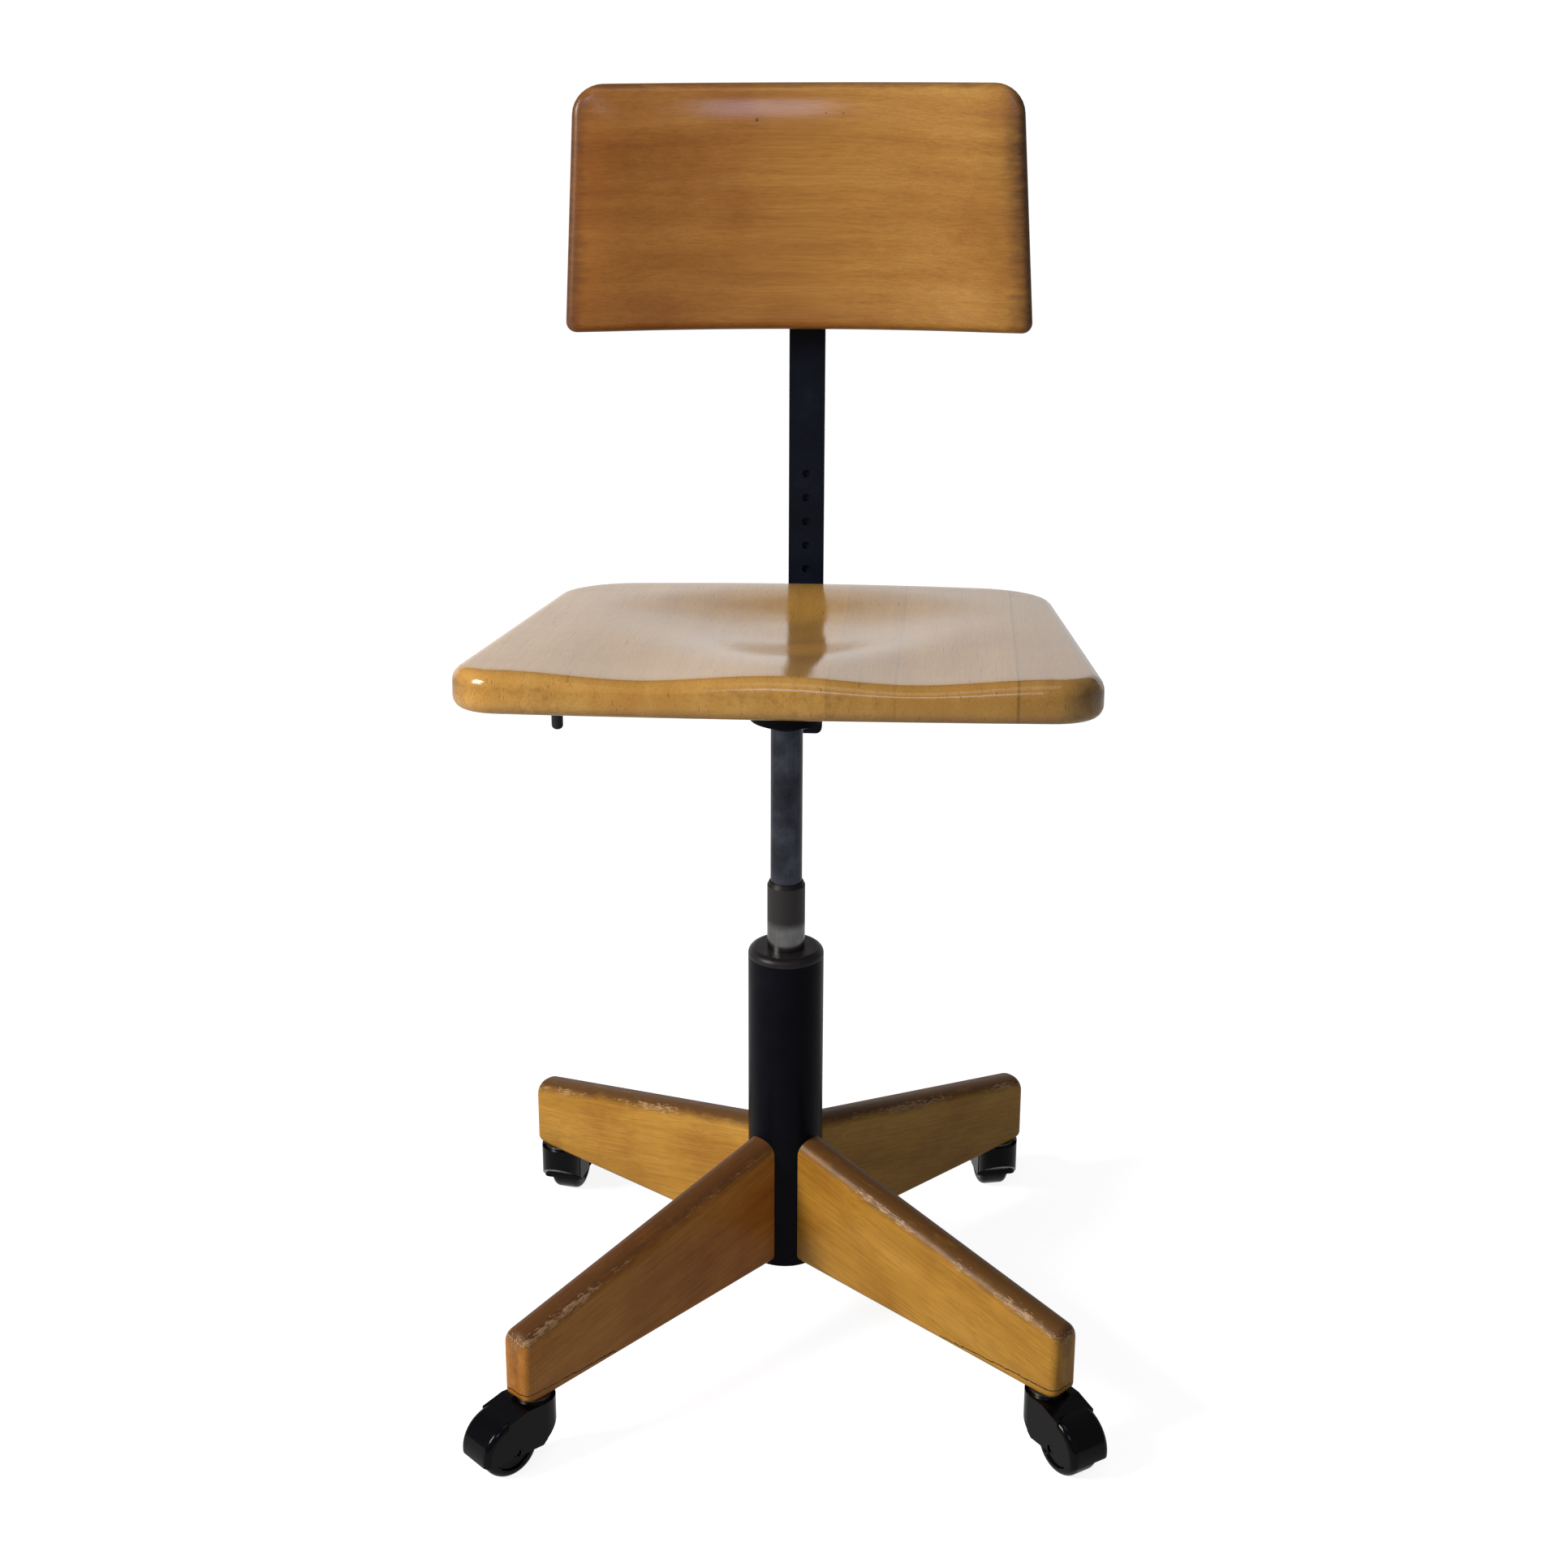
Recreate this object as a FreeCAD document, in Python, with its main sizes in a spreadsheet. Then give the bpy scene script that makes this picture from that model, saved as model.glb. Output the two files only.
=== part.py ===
import FreeCAD, Part
import math
import os
import Sketcher

# Swivel chair with a wooden seat and backrest on a four-legged castered base.
# The row's origin is on the floor at the middle of the footprint; the seat faces -Y.
# The column axis stands at (column_x, column_y). Millimetres and degrees.

Vector = FreeCAD.Vector
X_AXIS = Vector(1, 0, 0)
Y_AXIS = Vector(0, 1, 0)
Z_AXIS = Vector(0, 0, 1)

document = FreeCAD.newDocument("swivel_chair")
sheet = document.addObject("Spreadsheet::Sheet", "size")

dimensions = [
    ("column_x", -11.2, "column axis from the middle of the footprint, across"),
    ("column_y", -15.6, "column axis from the middle of the footprint, fore and aft"),
    ("base_turn", 5, "turn of the leg cross against the seat"),
    # fits
    ("running_fit", 0.05, "radial clearance of a shaft that turns or slides in its bore"),
    ("loose_fit", 0.2, "radial clearance of a bolt or screw in its hole"),
    ("touch_gap", 0.3, "clearance between neighbours that move past each other"),
    # casters
    ("wheel_diameter", 42, "caster wheel"),
    ("wheel_width", 22, "caster wheel across the tread"),
    ("wheel_round", 5, "rounding of the tread's edges"),
    ("axle_diameter", 6, "caster axle"),
    ("caster_trail", 25, "stem axis to wheel axle"),
    ("caster_height", 49.5, "floor to the top of the caster's boss"),
    ("hood_wall", 2.5, "wall of the hood round the wheel"),
    ("hood_gap", 1.5, "wheel to the inside of the hood"),
    ("hood_width", 31, "hood across its cheeks"),
    ("hood_lip", 18, "floor to the hood's lower edge"),
    ("hood_round", 4.5, "rounding of the hood's rim"),
    ("boss_diameter", 30, "round boss under the leg"),
    ("boss_height", 16, "boss above the hood's sloping underside"),
    ("stem_diameter", 10, "caster stem"),
    ("stem_length", 28, "stem above the boss"),
    ("stem_seat", 9, "stem inside the boss"),
    ("socket_diameter", 14, "sleeve in the leg that takes the stem"),
    ("socket_length", 32, "sleeve above its flange"),
    ("flange_diameter", 24, "flange of the sleeve"),
    ("flange_thickness", 1.5, "flange of the sleeve"),
    ("turn_front_left", -6, "caster's swivel away from its leg, front left"),
    ("turn_front_right", -13, "the same, front right"),
    ("turn_rear_left", -60, "the same, rear left"),
    ("turn_rear_right", 53, "the same, rear right"),
    # legs
    ("leg_reach", 261, "column axis to the leg's outer end"),
    ("leg_thickness", 24, "leg board"),
    ("leg_over_caster", 0.5, "leg's outer end above the caster's boss"),
    ("leg_tip_height", 53, "height of the leg's outer end"),
    ("leg_hub_height", 101, "height of the leg's inner end, inside the column"),
    ("leg_hub_rise", 10, "underside at the column above the outer end's"),
    ("leg_top_round", 10, "rounding of the leg's upper edges"),
    ("leg_low_round", 4, "rounding of the leg's other edges"),
    ("stem_setback", 16, "outer end of the leg to the caster's stem"),
    ("bolt_low", 22, "lower leg bolt above the leg's underside"),
    ("bolt_spacing", 46, "lower to upper leg bolt"),
    ("bolt_diameter", 6, "leg bolt"),
    ("bolt_grip", 48, "length of the leg bolt outside the column wall"),
    ("bolt_head", 10, "head of the leg bolt"),
    ("bolt_head_height", 4, "head of the leg bolt"),
    ("nut_diameter", 10, "threaded insert in the leg"),
    ("nut_length", 16, "threaded insert in the leg"),
    # column
    ("column_diameter", 53, "column tube outside"),
    ("column_wall", 2.5, "column tube wall"),
    ("column_drop", 3, "column tube below the legs"),
    ("column_length", 237, "column tube"),
    ("cap_rise", 6, "cap above the column tube"),
    ("cap_depth", 24, "cap's spigot inside the tube"),
    ("cap_round", 5, "rounding of the cap's rim"),
    ("plug_height", 6, "plug in the foot of the column"),
    ("plug_vent", 8, "vent hole of the plug"),
    ("guide_bore", 30, "bore of the inner guide tube"),
    ("guide_wall", 1.5, "wall of the inner guide tube"),
    # lift
    ("lift_diameter", 26.4, "lift tube outside"),
    ("lift_wall", 1.5, "lift tube wall"),
    ("lift_length", 149, "lift tube"),
    ("lift_shown", 47, "lift tube above the cap at rest"),
    ("foot_height", 20, "slide foot below the lift tube"),
    ("foot_spigot", 8, "slide foot inside the lift tube"),
    ("foot_cavity", 18.6, "bore of the slide foot round the cone"),
    ("foot_roof", 6.5, "slide foot between its cavity and its top"),
    ("ball_diameter", 6, "locking ball"),
    ("ball_rise", 10, "locking balls above the foot's underside"),
    ("washer_height", 2, "thrust washer under the post"),
    ("lower_bush_length", 14, "lower bush round the post"),
    ("upper_bush_length", 20, "upper bush round the post"),
    ("collar_height", 3, "sloping collar on top of the lift tube"),
    ("collar_top", 23.4, "upper diameter of that collar"),
    # post, head and height lever
    ("post_diameter", 22, "seat post outside"),
    ("post_bore", 12, "seat post bore"),
    ("post_shown", 114, "post between the lift tube and the head"),
    ("head_diameter", 51, "head under the seat"),
    ("head_wall", 2.5, "wall of the head"),
    ("head_height", 39.7, "head at the column axis"),
    ("head_cone", 6, "sloping underside of the head"),
    ("hub_diameter", 32, "hub round the post inside the head"),
    ("hub_height", 20, "hub round the post inside the head"),
    ("lever_rise", 25.5, "height lever above the head's underside"),
    ("lever_pivot", 16, "column axis to the lever's pivot"),
    ("lever_nose", 4, "lever past the column axis"),
    ("blade_height", 8, "flat inner part of the lever"),
    ("blade_thickness", 5, "flat inner part of the lever"),
    ("lever_diameter", 6, "round outer part of the lever"),
    ("lever_reach", 157, "column axis to the lever's grip"),
    ("lever_bend", 10, "bend radius of the lever"),
    ("grip_diameter", 8, "grip on the lever's end"),
    ("grip_length", 21, "grip on the lever's end"),
    ("lever_drop", 32, "lever's centre line to the grip's lower end"),
    ("pin_diameter", 4, "pivot pin of the lever"),
    ("pin_length", 38, "pivot pin of the lever"),
    ("spring_diameter", 7, "lever spring outside"),
    ("spring_wire", 1.2, "wire of the lever spring"),
    ("spring_turns", 5, "turns of the lever spring"),
    ("rod_diameter", 8, "release rod"),
    ("cone_wide", 18, "locking cone, lower end"),
    ("cone_narrow", 14, "locking cone, upper end"),
    ("cone_length", 12, "locking cone"),
    # seat
    ("seat_tilt", 8.5, "seat falls to the rear"),
    ("seat_front_width", 406, "seat across its front"),
    ("seat_back_width", 350, "seat across its rear"),
    ("seat_front", 198, "column axis to the seat's front edge"),
    ("seat_back", 195, "column axis to the seat's rear edge"),
    ("seat_front_bow", 6, "bow of the front edge"),
    ("seat_back_bow", 15, "bow of the rear edge"),
    ("seat_thickness", 27, "seat board"),
    ("seat_corner", 34, "seat corners in plan"),
    ("seat_top_round", 9, "rounding of the seat's upper edge"),
    ("seat_under_round", 8, "rounding of the seat's lower edge"),
    ("bowl_depth", 8, "hollow of the seat"),
    ("bowl_width", 290, "hollow of the seat across"),
    ("bowl_front", 125, "hollow's middle to its front"),
    ("bowl_back", 125, "hollow's middle to its rear"),
    ("bowl_place", 30, "hollow's middle behind the column axis"),
    ("thigh_depth", 5, "thigh channels at the front edge"),
    ("thigh_place", 82, "thigh channels from the middle"),
    ("thigh_width", 150, "one thigh channel across"),
    ("plate_width", 110, "mounting plate"),
    ("plate_length", 150, "mounting plate"),
    ("plate_thickness", 4, "mounting plate"),
    ("plate_corner", 10, "mounting plate corners"),
    ("screw_across", 84, "seat screws across"),
    ("screw_along", 120, "seat screws fore and aft"),
    ("screw_diameter", 5, "seat screw"),
    ("screw_head", 10, "seat screw head"),
    ("screw_head_height", 3, "seat screw head"),
    ("screw_bite", 16, "seat screw inside the wood"),
    # backrest carrier
    ("bar_place", 222, "column axis to the upright bar"),
    ("bar_width", 26, "upright bar"),
    ("bar_thickness", 6, "upright bar"),
    ("arm_start", 31, "column axis to the front end of the arm"),
    ("arm_width", 26, "arm under the seat"),
    ("arm_thickness", 6, "arm under the seat"),
    ("arm_bolt_first", 42, "column axis to the first arm bolt"),
    ("arm_bolt_step", 22, "first to second arm bolt"),
    ("guide_width", 40, "guide round the bar"),
    ("guide_thickness", 20, "guide round the bar"),
    ("guide_above_pin", 18.4, "guide above the lock pin"),
    ("guide_below_pin", 25.6, "guide below the lock pin"),
    ("pin_drop", 35.4, "lock pin below the seat's underside at the column axis"),
    ("lock_pin_diameter", 5.6, "lock pin"),
    ("lock_clear", 0.5, "pulled lock pin clears the bar"),
    ("lock_bite", 2.1, "pushed lock pin enters a hole"),
    ("lock_collar", 9, "collar of the lock pin"),
    ("lock_collar_height", 2, "collar of the lock pin"),
    ("housing_diameter", 16, "housing of the lock spring"),
    ("housing_bore", 10, "housing of the lock spring"),
    ("housing_length", 18, "housing of the lock spring"),
    ("housing_end", 2, "end wall of that housing"),
    ("knob_diameter", 20, "lock knob"),
    ("knob_length", 10, "lock knob"),
    ("knob_round", 2.5, "rounding of the lock knob"),
    ("hole_pitch", 18.3, "step of the holes in the bar"),
    ("hole_diameter", 6, "holes in the bar"),
    ("hole_depth", 2.4, "holes in the bar, bored from both faces and not through"),
    ("bar_below_pin", 94.3, "bar below the lock pin"),
    ("pivot_rise", 306.2, "backrest pivot above the lock pin"),
    ("barrel_diameter", 15, "barrel across the bar's upper end"),
    ("bar_corner", 5, "corners of the bar's lower end"),
    ("stop_drop", 68, "stop pin below the lock pin"),
    ("stop_diameter", 5, "stop pin in the bar"),
    ("stop_head", 9, "heads of the stop pin"),
    ("stop_head_height", 2, "heads of the stop pin"),
    # backrest
    ("back_lean", 5, "backrest leans to the rear"),
    ("back_low_width", 329, "backrest along its lower edge"),
    ("back_top_width", 316, "backrest along its upper edge"),
    ("back_height", 170, "backrest"),
    ("back_thickness", 20, "backrest board"),
    ("back_radius", 490, "curve of the backrest's face"),
    ("back_stand_off", 16, "pivot axis to the back of the board"),
    ("back_roll", 5, "fall of the face towards its edges"),
    ("back_border", 32, "width of that falling border"),
    ("back_top_corner", 17, "upper corners of the backrest"),
    ("back_low_corner", 9, "lower corners of the backrest"),
    ("back_edge_round", 5, "rounding of the backrest's edges"),
    ("bracket_width", 60, "bracket plate"),
    ("bracket_height", 80, "bracket plate"),
    ("bracket_thickness", 3, "bracket plate and ears"),
    ("bracket_corner", 8, "bracket plate corners"),
    ("ear_height", 28, "bracket ears"),
    ("ear_reach", 10, "bracket ears behind the pivot axis"),
    ("ear_round", 7, "corners of the ears"),
    ("friction_washer", 1.5, "washer between bar and ear"),
    ("friction_diameter", 22, "washer between bar and ear"),
    ("pivot_diameter", 8, "pivot bolt"),
    ("pivot_head", 14, "pivot bolt head"),
    ("pivot_head_height", 5, "pivot bolt head"),
    ("pivot_end", 6, "pivot bolt past the ear"),
    ("pivot_nut", 13, "cap nut"),
    ("pivot_nut_height", 8, "cap nut"),
    ("back_screw_across", 44, "backrest screws across"),
    ("back_screw_along", 62, "backrest screws up and down"),
    ("back_screw_diameter", 4, "backrest screw"),
    ("back_screw_head", 8, "backrest screw head"),
    ("back_screw_head_height", 2.5, "backrest screw head"),
    ("back_screw_bite", 12, "backrest screw inside the wood"),
]

for row, (alias, amount, note) in enumerate(dimensions, start=1):
    sheet.set("A%d" % row, note)
    sheet.set("B%d" % row, str(amount))
    sheet.setAlias("B%d" % row, alias)
document.recompute()


def amount_of(text):
    """Value of an expression over the sheet's cells."""
    return float(sheet.evalExpression(text))


# Heights that several pieces share, as expressions over the sheet
LEG_LOW = "(size.caster_height + size.leg_over_caster)"
HUB_LOW = "(%s + size.leg_hub_rise)" % LEG_LOW
COLUMN_LOW = "(%s - size.column_drop)" % HUB_LOW
COLUMN_TOP = "(%s + size.column_length)" % COLUMN_LOW
CAP_TOP = "(%s + size.cap_rise)" % COLUMN_TOP
LIFT_TOP = "(%s + size.lift_shown)" % CAP_TOP
LIFT_LOW = "(%s - size.lift_length)" % LIFT_TOP
FOOT_LOW = "(%s - size.foot_height)" % LIFT_LOW
FOOT_TOP = "(%s + size.foot_spigot)" % LIFT_LOW
WASHER_TOP = "(%s + size.washer_height)" % FOOT_TOP
BALL_PLACE = "(%s + size.ball_rise)" % FOOT_LOW
HEAD_LOW = "(%s + size.collar_height + size.post_shown)" % LIFT_TOP
HEAD_TOP = "(%s + size.head_height)" % HEAD_LOW
LEVER_PLACE = "(%s + size.lever_rise)" % HEAD_LOW
SEAT_LOW = "(%s + size.plate_thickness / cos(size.seat_tilt))" % HEAD_TOP
PIN_PLACE = "(%s - size.pin_drop)" % SEAT_LOW
PIVOT_PLACE = "(%s + size.pivot_rise)" % PIN_PLACE

# Radii that several pieces share
COLUMN_RADIUS = "(size.column_diameter / 2)"
COLUMN_BORE = "(%s - size.column_wall)" % COLUMN_RADIUS
LIFT_RADIUS = "(size.lift_diameter / 2)"
LIFT_BORE = "(%s - size.lift_wall)" % LIFT_RADIUS
POST_RADIUS = "(size.post_diameter / 2)"
GUIDE_RADIUS = "(size.guide_bore / 2)"
BALL_ORBIT = "(%s - size.ball_diameter / 2 - size.running_fit * 2)" % GUIDE_RADIUS
STEM_ORBIT = "(size.leg_reach - size.stem_setback)"
WHEEL_RADIUS = "(size.wheel_diameter / 2)"
HOOD_RADIUS = "(%s + size.hood_gap + size.hood_wall)" % WHEEL_RADIUS
EAR_INSIDE = "(size.bar_width / 2 + size.friction_washer + 2 * size.running_fit)"
EAR_OUTSIDE = "(%s + size.bracket_thickness)" % EAR_INSIDE

nodes = {}


def keep(thing, name):
    """Give a finished piece its node name."""
    thing.Label = name
    nodes[name] = thing
    return thing


def bind(thing, **texts):
    """Bind properties of a piece to expressions over the sheet."""
    for name, text in texts.items():
        thing.setExpression(name, text)


def place(thing, across="0", along="0", up="0", turn=None, about=Z_AXIS):
    """Place a piece from the column axis on the floor."""
    if turn is not None:
        thing.Placement = FreeCAD.Placement(Vector(), FreeCAD.Rotation(about, 1))
        thing.setExpression("Placement.Rotation.Angle", turn)
    thing.setExpression("Placement.Base.x", "size.column_x + " + across)
    thing.setExpression("Placement.Base.y", "size.column_y + " + along)
    thing.setExpression("Placement.Base.z", up)


def place_tilted(thing):
    """Place a piece that was drawn in the plane of the seat's underside."""
    place(thing, up=SEAT_LOW, turn="-size.seat_tilt", about=X_AXIS)


def new_body(name):
    return document.addObject("PartDesign::Body", name + "_body")


def new_sketch(body, plane, offset=None):
    """Empty sketch on one of the body's own origin planes."""
    sketch = body.newObject("Sketcher::SketchObject", "sketch")
    planes = [item for item in body.Origin.OriginFeatures if item.Role == plane]
    sketch.AttachmentSupport = (planes[0], [""])
    sketch.MapMode = "FlatFace"
    if offset is not None:
        sketch.setExpression("AttachmentOffset.Base.z", offset)
    return sketch


def pin_point(sketch, piece, point, text_x, text_y):
    """Hold one point of a sketch at two expressions."""
    for kind, text in (("DistanceX", text_x), ("DistanceY", text_y)):
        index = sketch.addConstraint(Sketcher.Constraint(kind, -1, 1, piece, point, amount_of(text)))
        sketch.setExpression("Constraints[%d]" % index, text)


def draw_outline(sketch, corners):
    """Closed outline whose corners are pairs of expressions."""
    start = sketch.GeometryCount
    spots = [Vector(amount_of(x), amount_of(y), 0) for x, y in corners]
    count = len(spots)
    for i in range(count):
        sketch.addGeometry(Part.LineSegment(spots[i], spots[(i + 1) % count]), False)
    for i in range(count):
        following = start + (i + 1) % count
        sketch.addConstraint(Sketcher.Constraint("Coincident", start + i, 2, following, 1))
    for i, (x, y) in enumerate(corners):
        pin_point(sketch, start + i, 1, x, y)


def draw_circle(sketch, x, y, radius):
    index = sketch.GeometryCount
    centre = Vector(amount_of(x), amount_of(y), 0)
    sketch.addGeometry(Part.Circle(centre, Z_AXIS, amount_of(radius)), False)
    pin_point(sketch, index, 3, x, y)
    size = sketch.addConstraint(Sketcher.Constraint("Radius", index, amount_of(radius)))
    sketch.setExpression("Constraints[%d]" % size, radius)


def draw_axis(sketch, start, end):
    """Construction line that a revolution turns about."""
    index = sketch.GeometryCount
    ends = [Vector(amount_of(x), amount_of(y), 0) for x, y in (start, end)]
    sketch.addGeometry(Part.LineSegment(*ends), True)
    pin_point(sketch, index, 1, *start)
    pin_point(sketch, index, 2, *end)


def rectangle(left, low, right, high):
    return [(left, low), (right, low), (right, high), (left, high)]


def pad(body, sketch, length, symmetric=False, reverse=False):
    feature = body.newObject("PartDesign::Pad", "pad")
    feature.Profile = sketch
    feature.SideType = "Symmetric" if symmetric else "One side"
    feature.Reversed = reverse
    feature.setExpression("Length", length)
    return feature


def pocket(body, sketch, length=None, reverse=False):
    """Cut to a length on one side, or right through on both sides."""
    feature = body.newObject("PartDesign::Pocket", "pocket")
    feature.Profile = sketch
    if length is None:
        feature.Type = "ThroughAll"
        feature.SideType = "Symmetric"
    else:
        feature.Reversed = reverse
        feature.setExpression("Length", length)
    return feature


def revolve(body, sketch, axis="V_Axis"):
    feature = body.newObject("PartDesign::Revolution", "turning")
    feature.Profile = sketch
    feature.ReferenceAxis = (sketch, [axis])
    feature.Angle = 360
    return feature


def polar(body, features, count):
    """Repeat features evenly about the body's Z axis."""
    feature = body.newObject("PartDesign::PolarPattern", "ring")
    feature.Originals = features
    upright = [item for item in body.Origin.OriginFeatures if item.Role == "Z_Axis"]
    feature.Axis = (upright[0], [""])
    feature.Angle = 360
    feature.Occurrences = count
    body.Tip = feature
    return feature


def round_edges(body, radius, wanted):
    """Fillet the edges of the body's last feature that a test picks."""
    document.recompute()
    base = body.Tip
    names = ["Edge%d" % (i + 1) for i, edge in enumerate(base.Shape.Edges) if wanted(edge)]
    feature = body.newObject("PartDesign::Fillet", "rounding")
    feature.Base = (base, names)
    feature.setExpression("Radius", radius)
    return feature


def turned(name, corners, plane="XZ_Plane"):
    """Body turned about the sketch's upright axis from (radius, height) corners."""
    body = new_body(name)
    sketch = new_sketch(body, plane)
    draw_outline(sketch, corners)
    revolve(body, sketch)
    return keep(body, name)


def ring_corners(inner, outer, low, high):
    return rectangle(inner, low, outer, high)


def edge_middle(edge):
    return edge.valueAt((edge.FirstParameter + edge.LastParameter) / 2)


def is_along(edge, direction):
    if edge.Curve.TypeId != "Part::GeomLine":
        return False
    run = edge.Vertexes[-1].Point - edge.Vertexes[0].Point
    return run.cross(direction).Length < 1e-6 * max(1.0, run.Length)


def is_circle(edge, radius, tolerance=0.01):
    return edge.Curve.TypeId == "Part::GeomCircle" and abs(edge.Curve.Radius - radius) < tolerance


def cylinder(radius, height, across="0", along="0", up="0", direction=Z_AXIS):
    """Part cylinder that starts at a point and runs along a direction."""
    thing = document.addObject("Part::Cylinder", "round")
    thing.Placement = FreeCAD.Placement(Vector(), FreeCAD.Rotation(Z_AXIS, direction))
    bind(thing, Radius=radius, Height=height)
    thing.setExpression("Placement.Base.x", across)
    thing.setExpression("Placement.Base.y", along)
    thing.setExpression("Placement.Base.z", up)
    return thing


def block(length, width, height, across, along, up):
    thing = document.addObject("Part::Box", "block")
    bind(thing, Length=length, Width=width, Height=height)
    thing.setExpression("Placement.Base.x", across)
    thing.setExpression("Placement.Base.y", along)
    thing.setExpression("Placement.Base.z", up)
    return thing


def fuse(things):
    joined = document.addObject("Part::MultiFuse", "joined")
    joined.Shapes = things
    return joined


def cut(base, tools):
    left = document.addObject("Part::Cut", "cut")
    left.Base = base
    left.Tool = tools[0] if len(tools) == 1 else fuse(tools)
    return left


def common(first, second):
    shared = document.addObject("Part::MultiCommon", "shared")
    shared.Shapes = [first, second]
    return shared


def group(things):
    together = document.addObject("Part::Compound", "group")
    together.Links = things
    return together


# Column tube, with two bolt holes towards each leg
column = turned("column_tube", ring_corners(COLUMN_BORE, COLUMN_RADIUS, COLUMN_LOW, COLUMN_TOP))
BOLT_HEIGHTS = ["(%s + size.bolt_low)" % HUB_LOW]
BOLT_HEIGHTS.append("(%s + size.bolt_spacing)" % BOLT_HEIGHTS[0])
for plane in ("YZ_Plane", "XZ_Plane"):
    holes = new_sketch(column, plane)
    for height in BOLT_HEIGHTS:
        draw_circle(holes, "0", height, "size.bolt_diameter / 2 + size.loose_fit")
    pocket(column, holes)
place(column, turn="size.base_turn + 45")

# Cap that guides the lift tube at the column's top
cap = turned("column_cap", [
    ("%s + size.running_fit" % LIFT_RADIUS, "%s - size.cap_depth" % COLUMN_TOP),
    ("%s - size.running_fit" % COLUMN_BORE, "%s - size.cap_depth" % COLUMN_TOP),
    ("%s - size.running_fit" % COLUMN_BORE, COLUMN_TOP),
    (COLUMN_RADIUS, COLUMN_TOP),
    (COLUMN_RADIUS, CAP_TOP),
    ("%s + size.running_fit" % LIFT_RADIUS, CAP_TOP),
])
rim_height = amount_of(CAP_TOP)
rim_radius = amount_of(COLUMN_RADIUS)
round_edges(cap, "min(size.cap_round; size.cap_rise - 0.5)", lambda edge: (
    is_circle(edge, rim_radius) and abs(edge.CenterOfMass.z - rim_height) < 0.01))
place(cap)

plug = turned("column_foot_plug", ring_corners(
    "size.plug_vent / 2", "%s - size.running_fit" % COLUMN_BORE,
    COLUMN_LOW, "%s + size.plug_height" % COLUMN_LOW))
place(plug)

guide_tube = turned("inner_guide_tube", ring_corners(
    GUIDE_RADIUS, "%s + size.guide_wall" % GUIDE_RADIUS,
    "%s + size.plug_height" % COLUMN_LOW, "%s - size.cap_depth" % COLUMN_TOP))
place(guide_tube)

# Four legs, drawn along +X and turned into place
LEG_ANGLES = {"rear_right": 45, "rear_left": 135, "front_left": 225, "front_right": 315}
NUT_START = "(%s + size.bolt_grip - size.nut_length)" % COLUMN_RADIUS
NUT_END = "(%s + size.bolt_grip + 2)" % COLUMN_RADIUS
SOCKET_ROOF = "(size.caster_height + size.touch_gap + size.flange_thickness)"


def leg(name, angle):
    body = new_body(name)
    side = new_sketch(body, "XZ_Plane")
    draw_outline(side, [
        ("%s / 2" % COLUMN_RADIUS, HUB_LOW),
        ("size.leg_reach", LEG_LOW),
        ("size.leg_reach", "%s + size.leg_tip_height" % LEG_LOW),
        ("%s / 2" % COLUMN_RADIUS, "%s + size.leg_hub_height" % HUB_LOW),
    ])
    pad(body, side, "size.leg_thickness", symmetric=True)
    half = amount_of("size.leg_thickness / 2")
    reach = amount_of("size.leg_reach")
    ridge = amount_of("%s + size.leg_tip_height" % LEG_LOW) - 1
    round_edges(body, "size.leg_top_round", lambda edge: (
        abs(abs(edge_middle(edge).y) - half) < 0.01 and edge_middle(edge).z > ridge
        and edge_middle(edge).x < reach - 1))
    hollow = new_sketch(body, "XY_Plane")
    draw_circle(hollow, "0", "0", "%s + size.running_fit" % COLUMN_RADIUS)
    pocket(body, hollow)
    near_column = amount_of("%s + 0.5" % COLUMN_RADIUS)
    round_edges(body, "size.leg_low_round", lambda edge: (
        abs(edge_middle(edge).x - reach) < 0.01
        or (abs(abs(edge_middle(edge).y) - half) < 0.01 and edge_middle(edge).z < ridge - 30
            and edge_middle(edge).x > near_column)))
    bores = new_sketch(body, "YZ_Plane")
    for height in BOLT_HEIGHTS:
        draw_circle(bores, "0", height, "size.nut_diameter / 2 + size.running_fit")
    pocket(body, bores, NUT_END, reverse=True)
    sleeve = new_sketch(body, "XY_Plane")
    draw_circle(sleeve, STEM_ORBIT, "0", "size.socket_diameter / 2 + size.running_fit")
    pocket(body, sleeve, "%s + size.socket_length + 1" % SOCKET_ROOF, reverse=True)
    recess = new_sketch(body, "XY_Plane")
    draw_circle(recess, STEM_ORBIT, "0", "size.flange_diameter / 2 + size.loose_fit")
    pocket(body, recess, SOCKET_ROOF, reverse=True)
    place(body, turn="size.base_turn + %d" % angle)
    return keep(body, name)


for corner, angle in LEG_ANGLES.items():
    leg("leg_" + corner, angle)


def radial_set(name, corners_at):
    """Two turned pieces one above the other, repeated towards the four legs."""
    body = new_body(name)
    body.AllowCompound = True
    made = []
    for height in BOLT_HEIGHTS:
        sketch = new_sketch(body, "XZ_Plane")
        draw_outline(sketch, corners_at(height))
        draw_axis(sketch, ("0", height), ("10", height))
        made.append(revolve(body, sketch, "Axis0"))
    polar(body, made, 4)
    place(body, turn="size.base_turn + 45")
    return keep(body, name)


HEAD_START = "(sqrt(%s ^ 2 - (size.bolt_head / 2) ^ 2) - size.bolt_head_height)" % COLUMN_BORE


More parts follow.
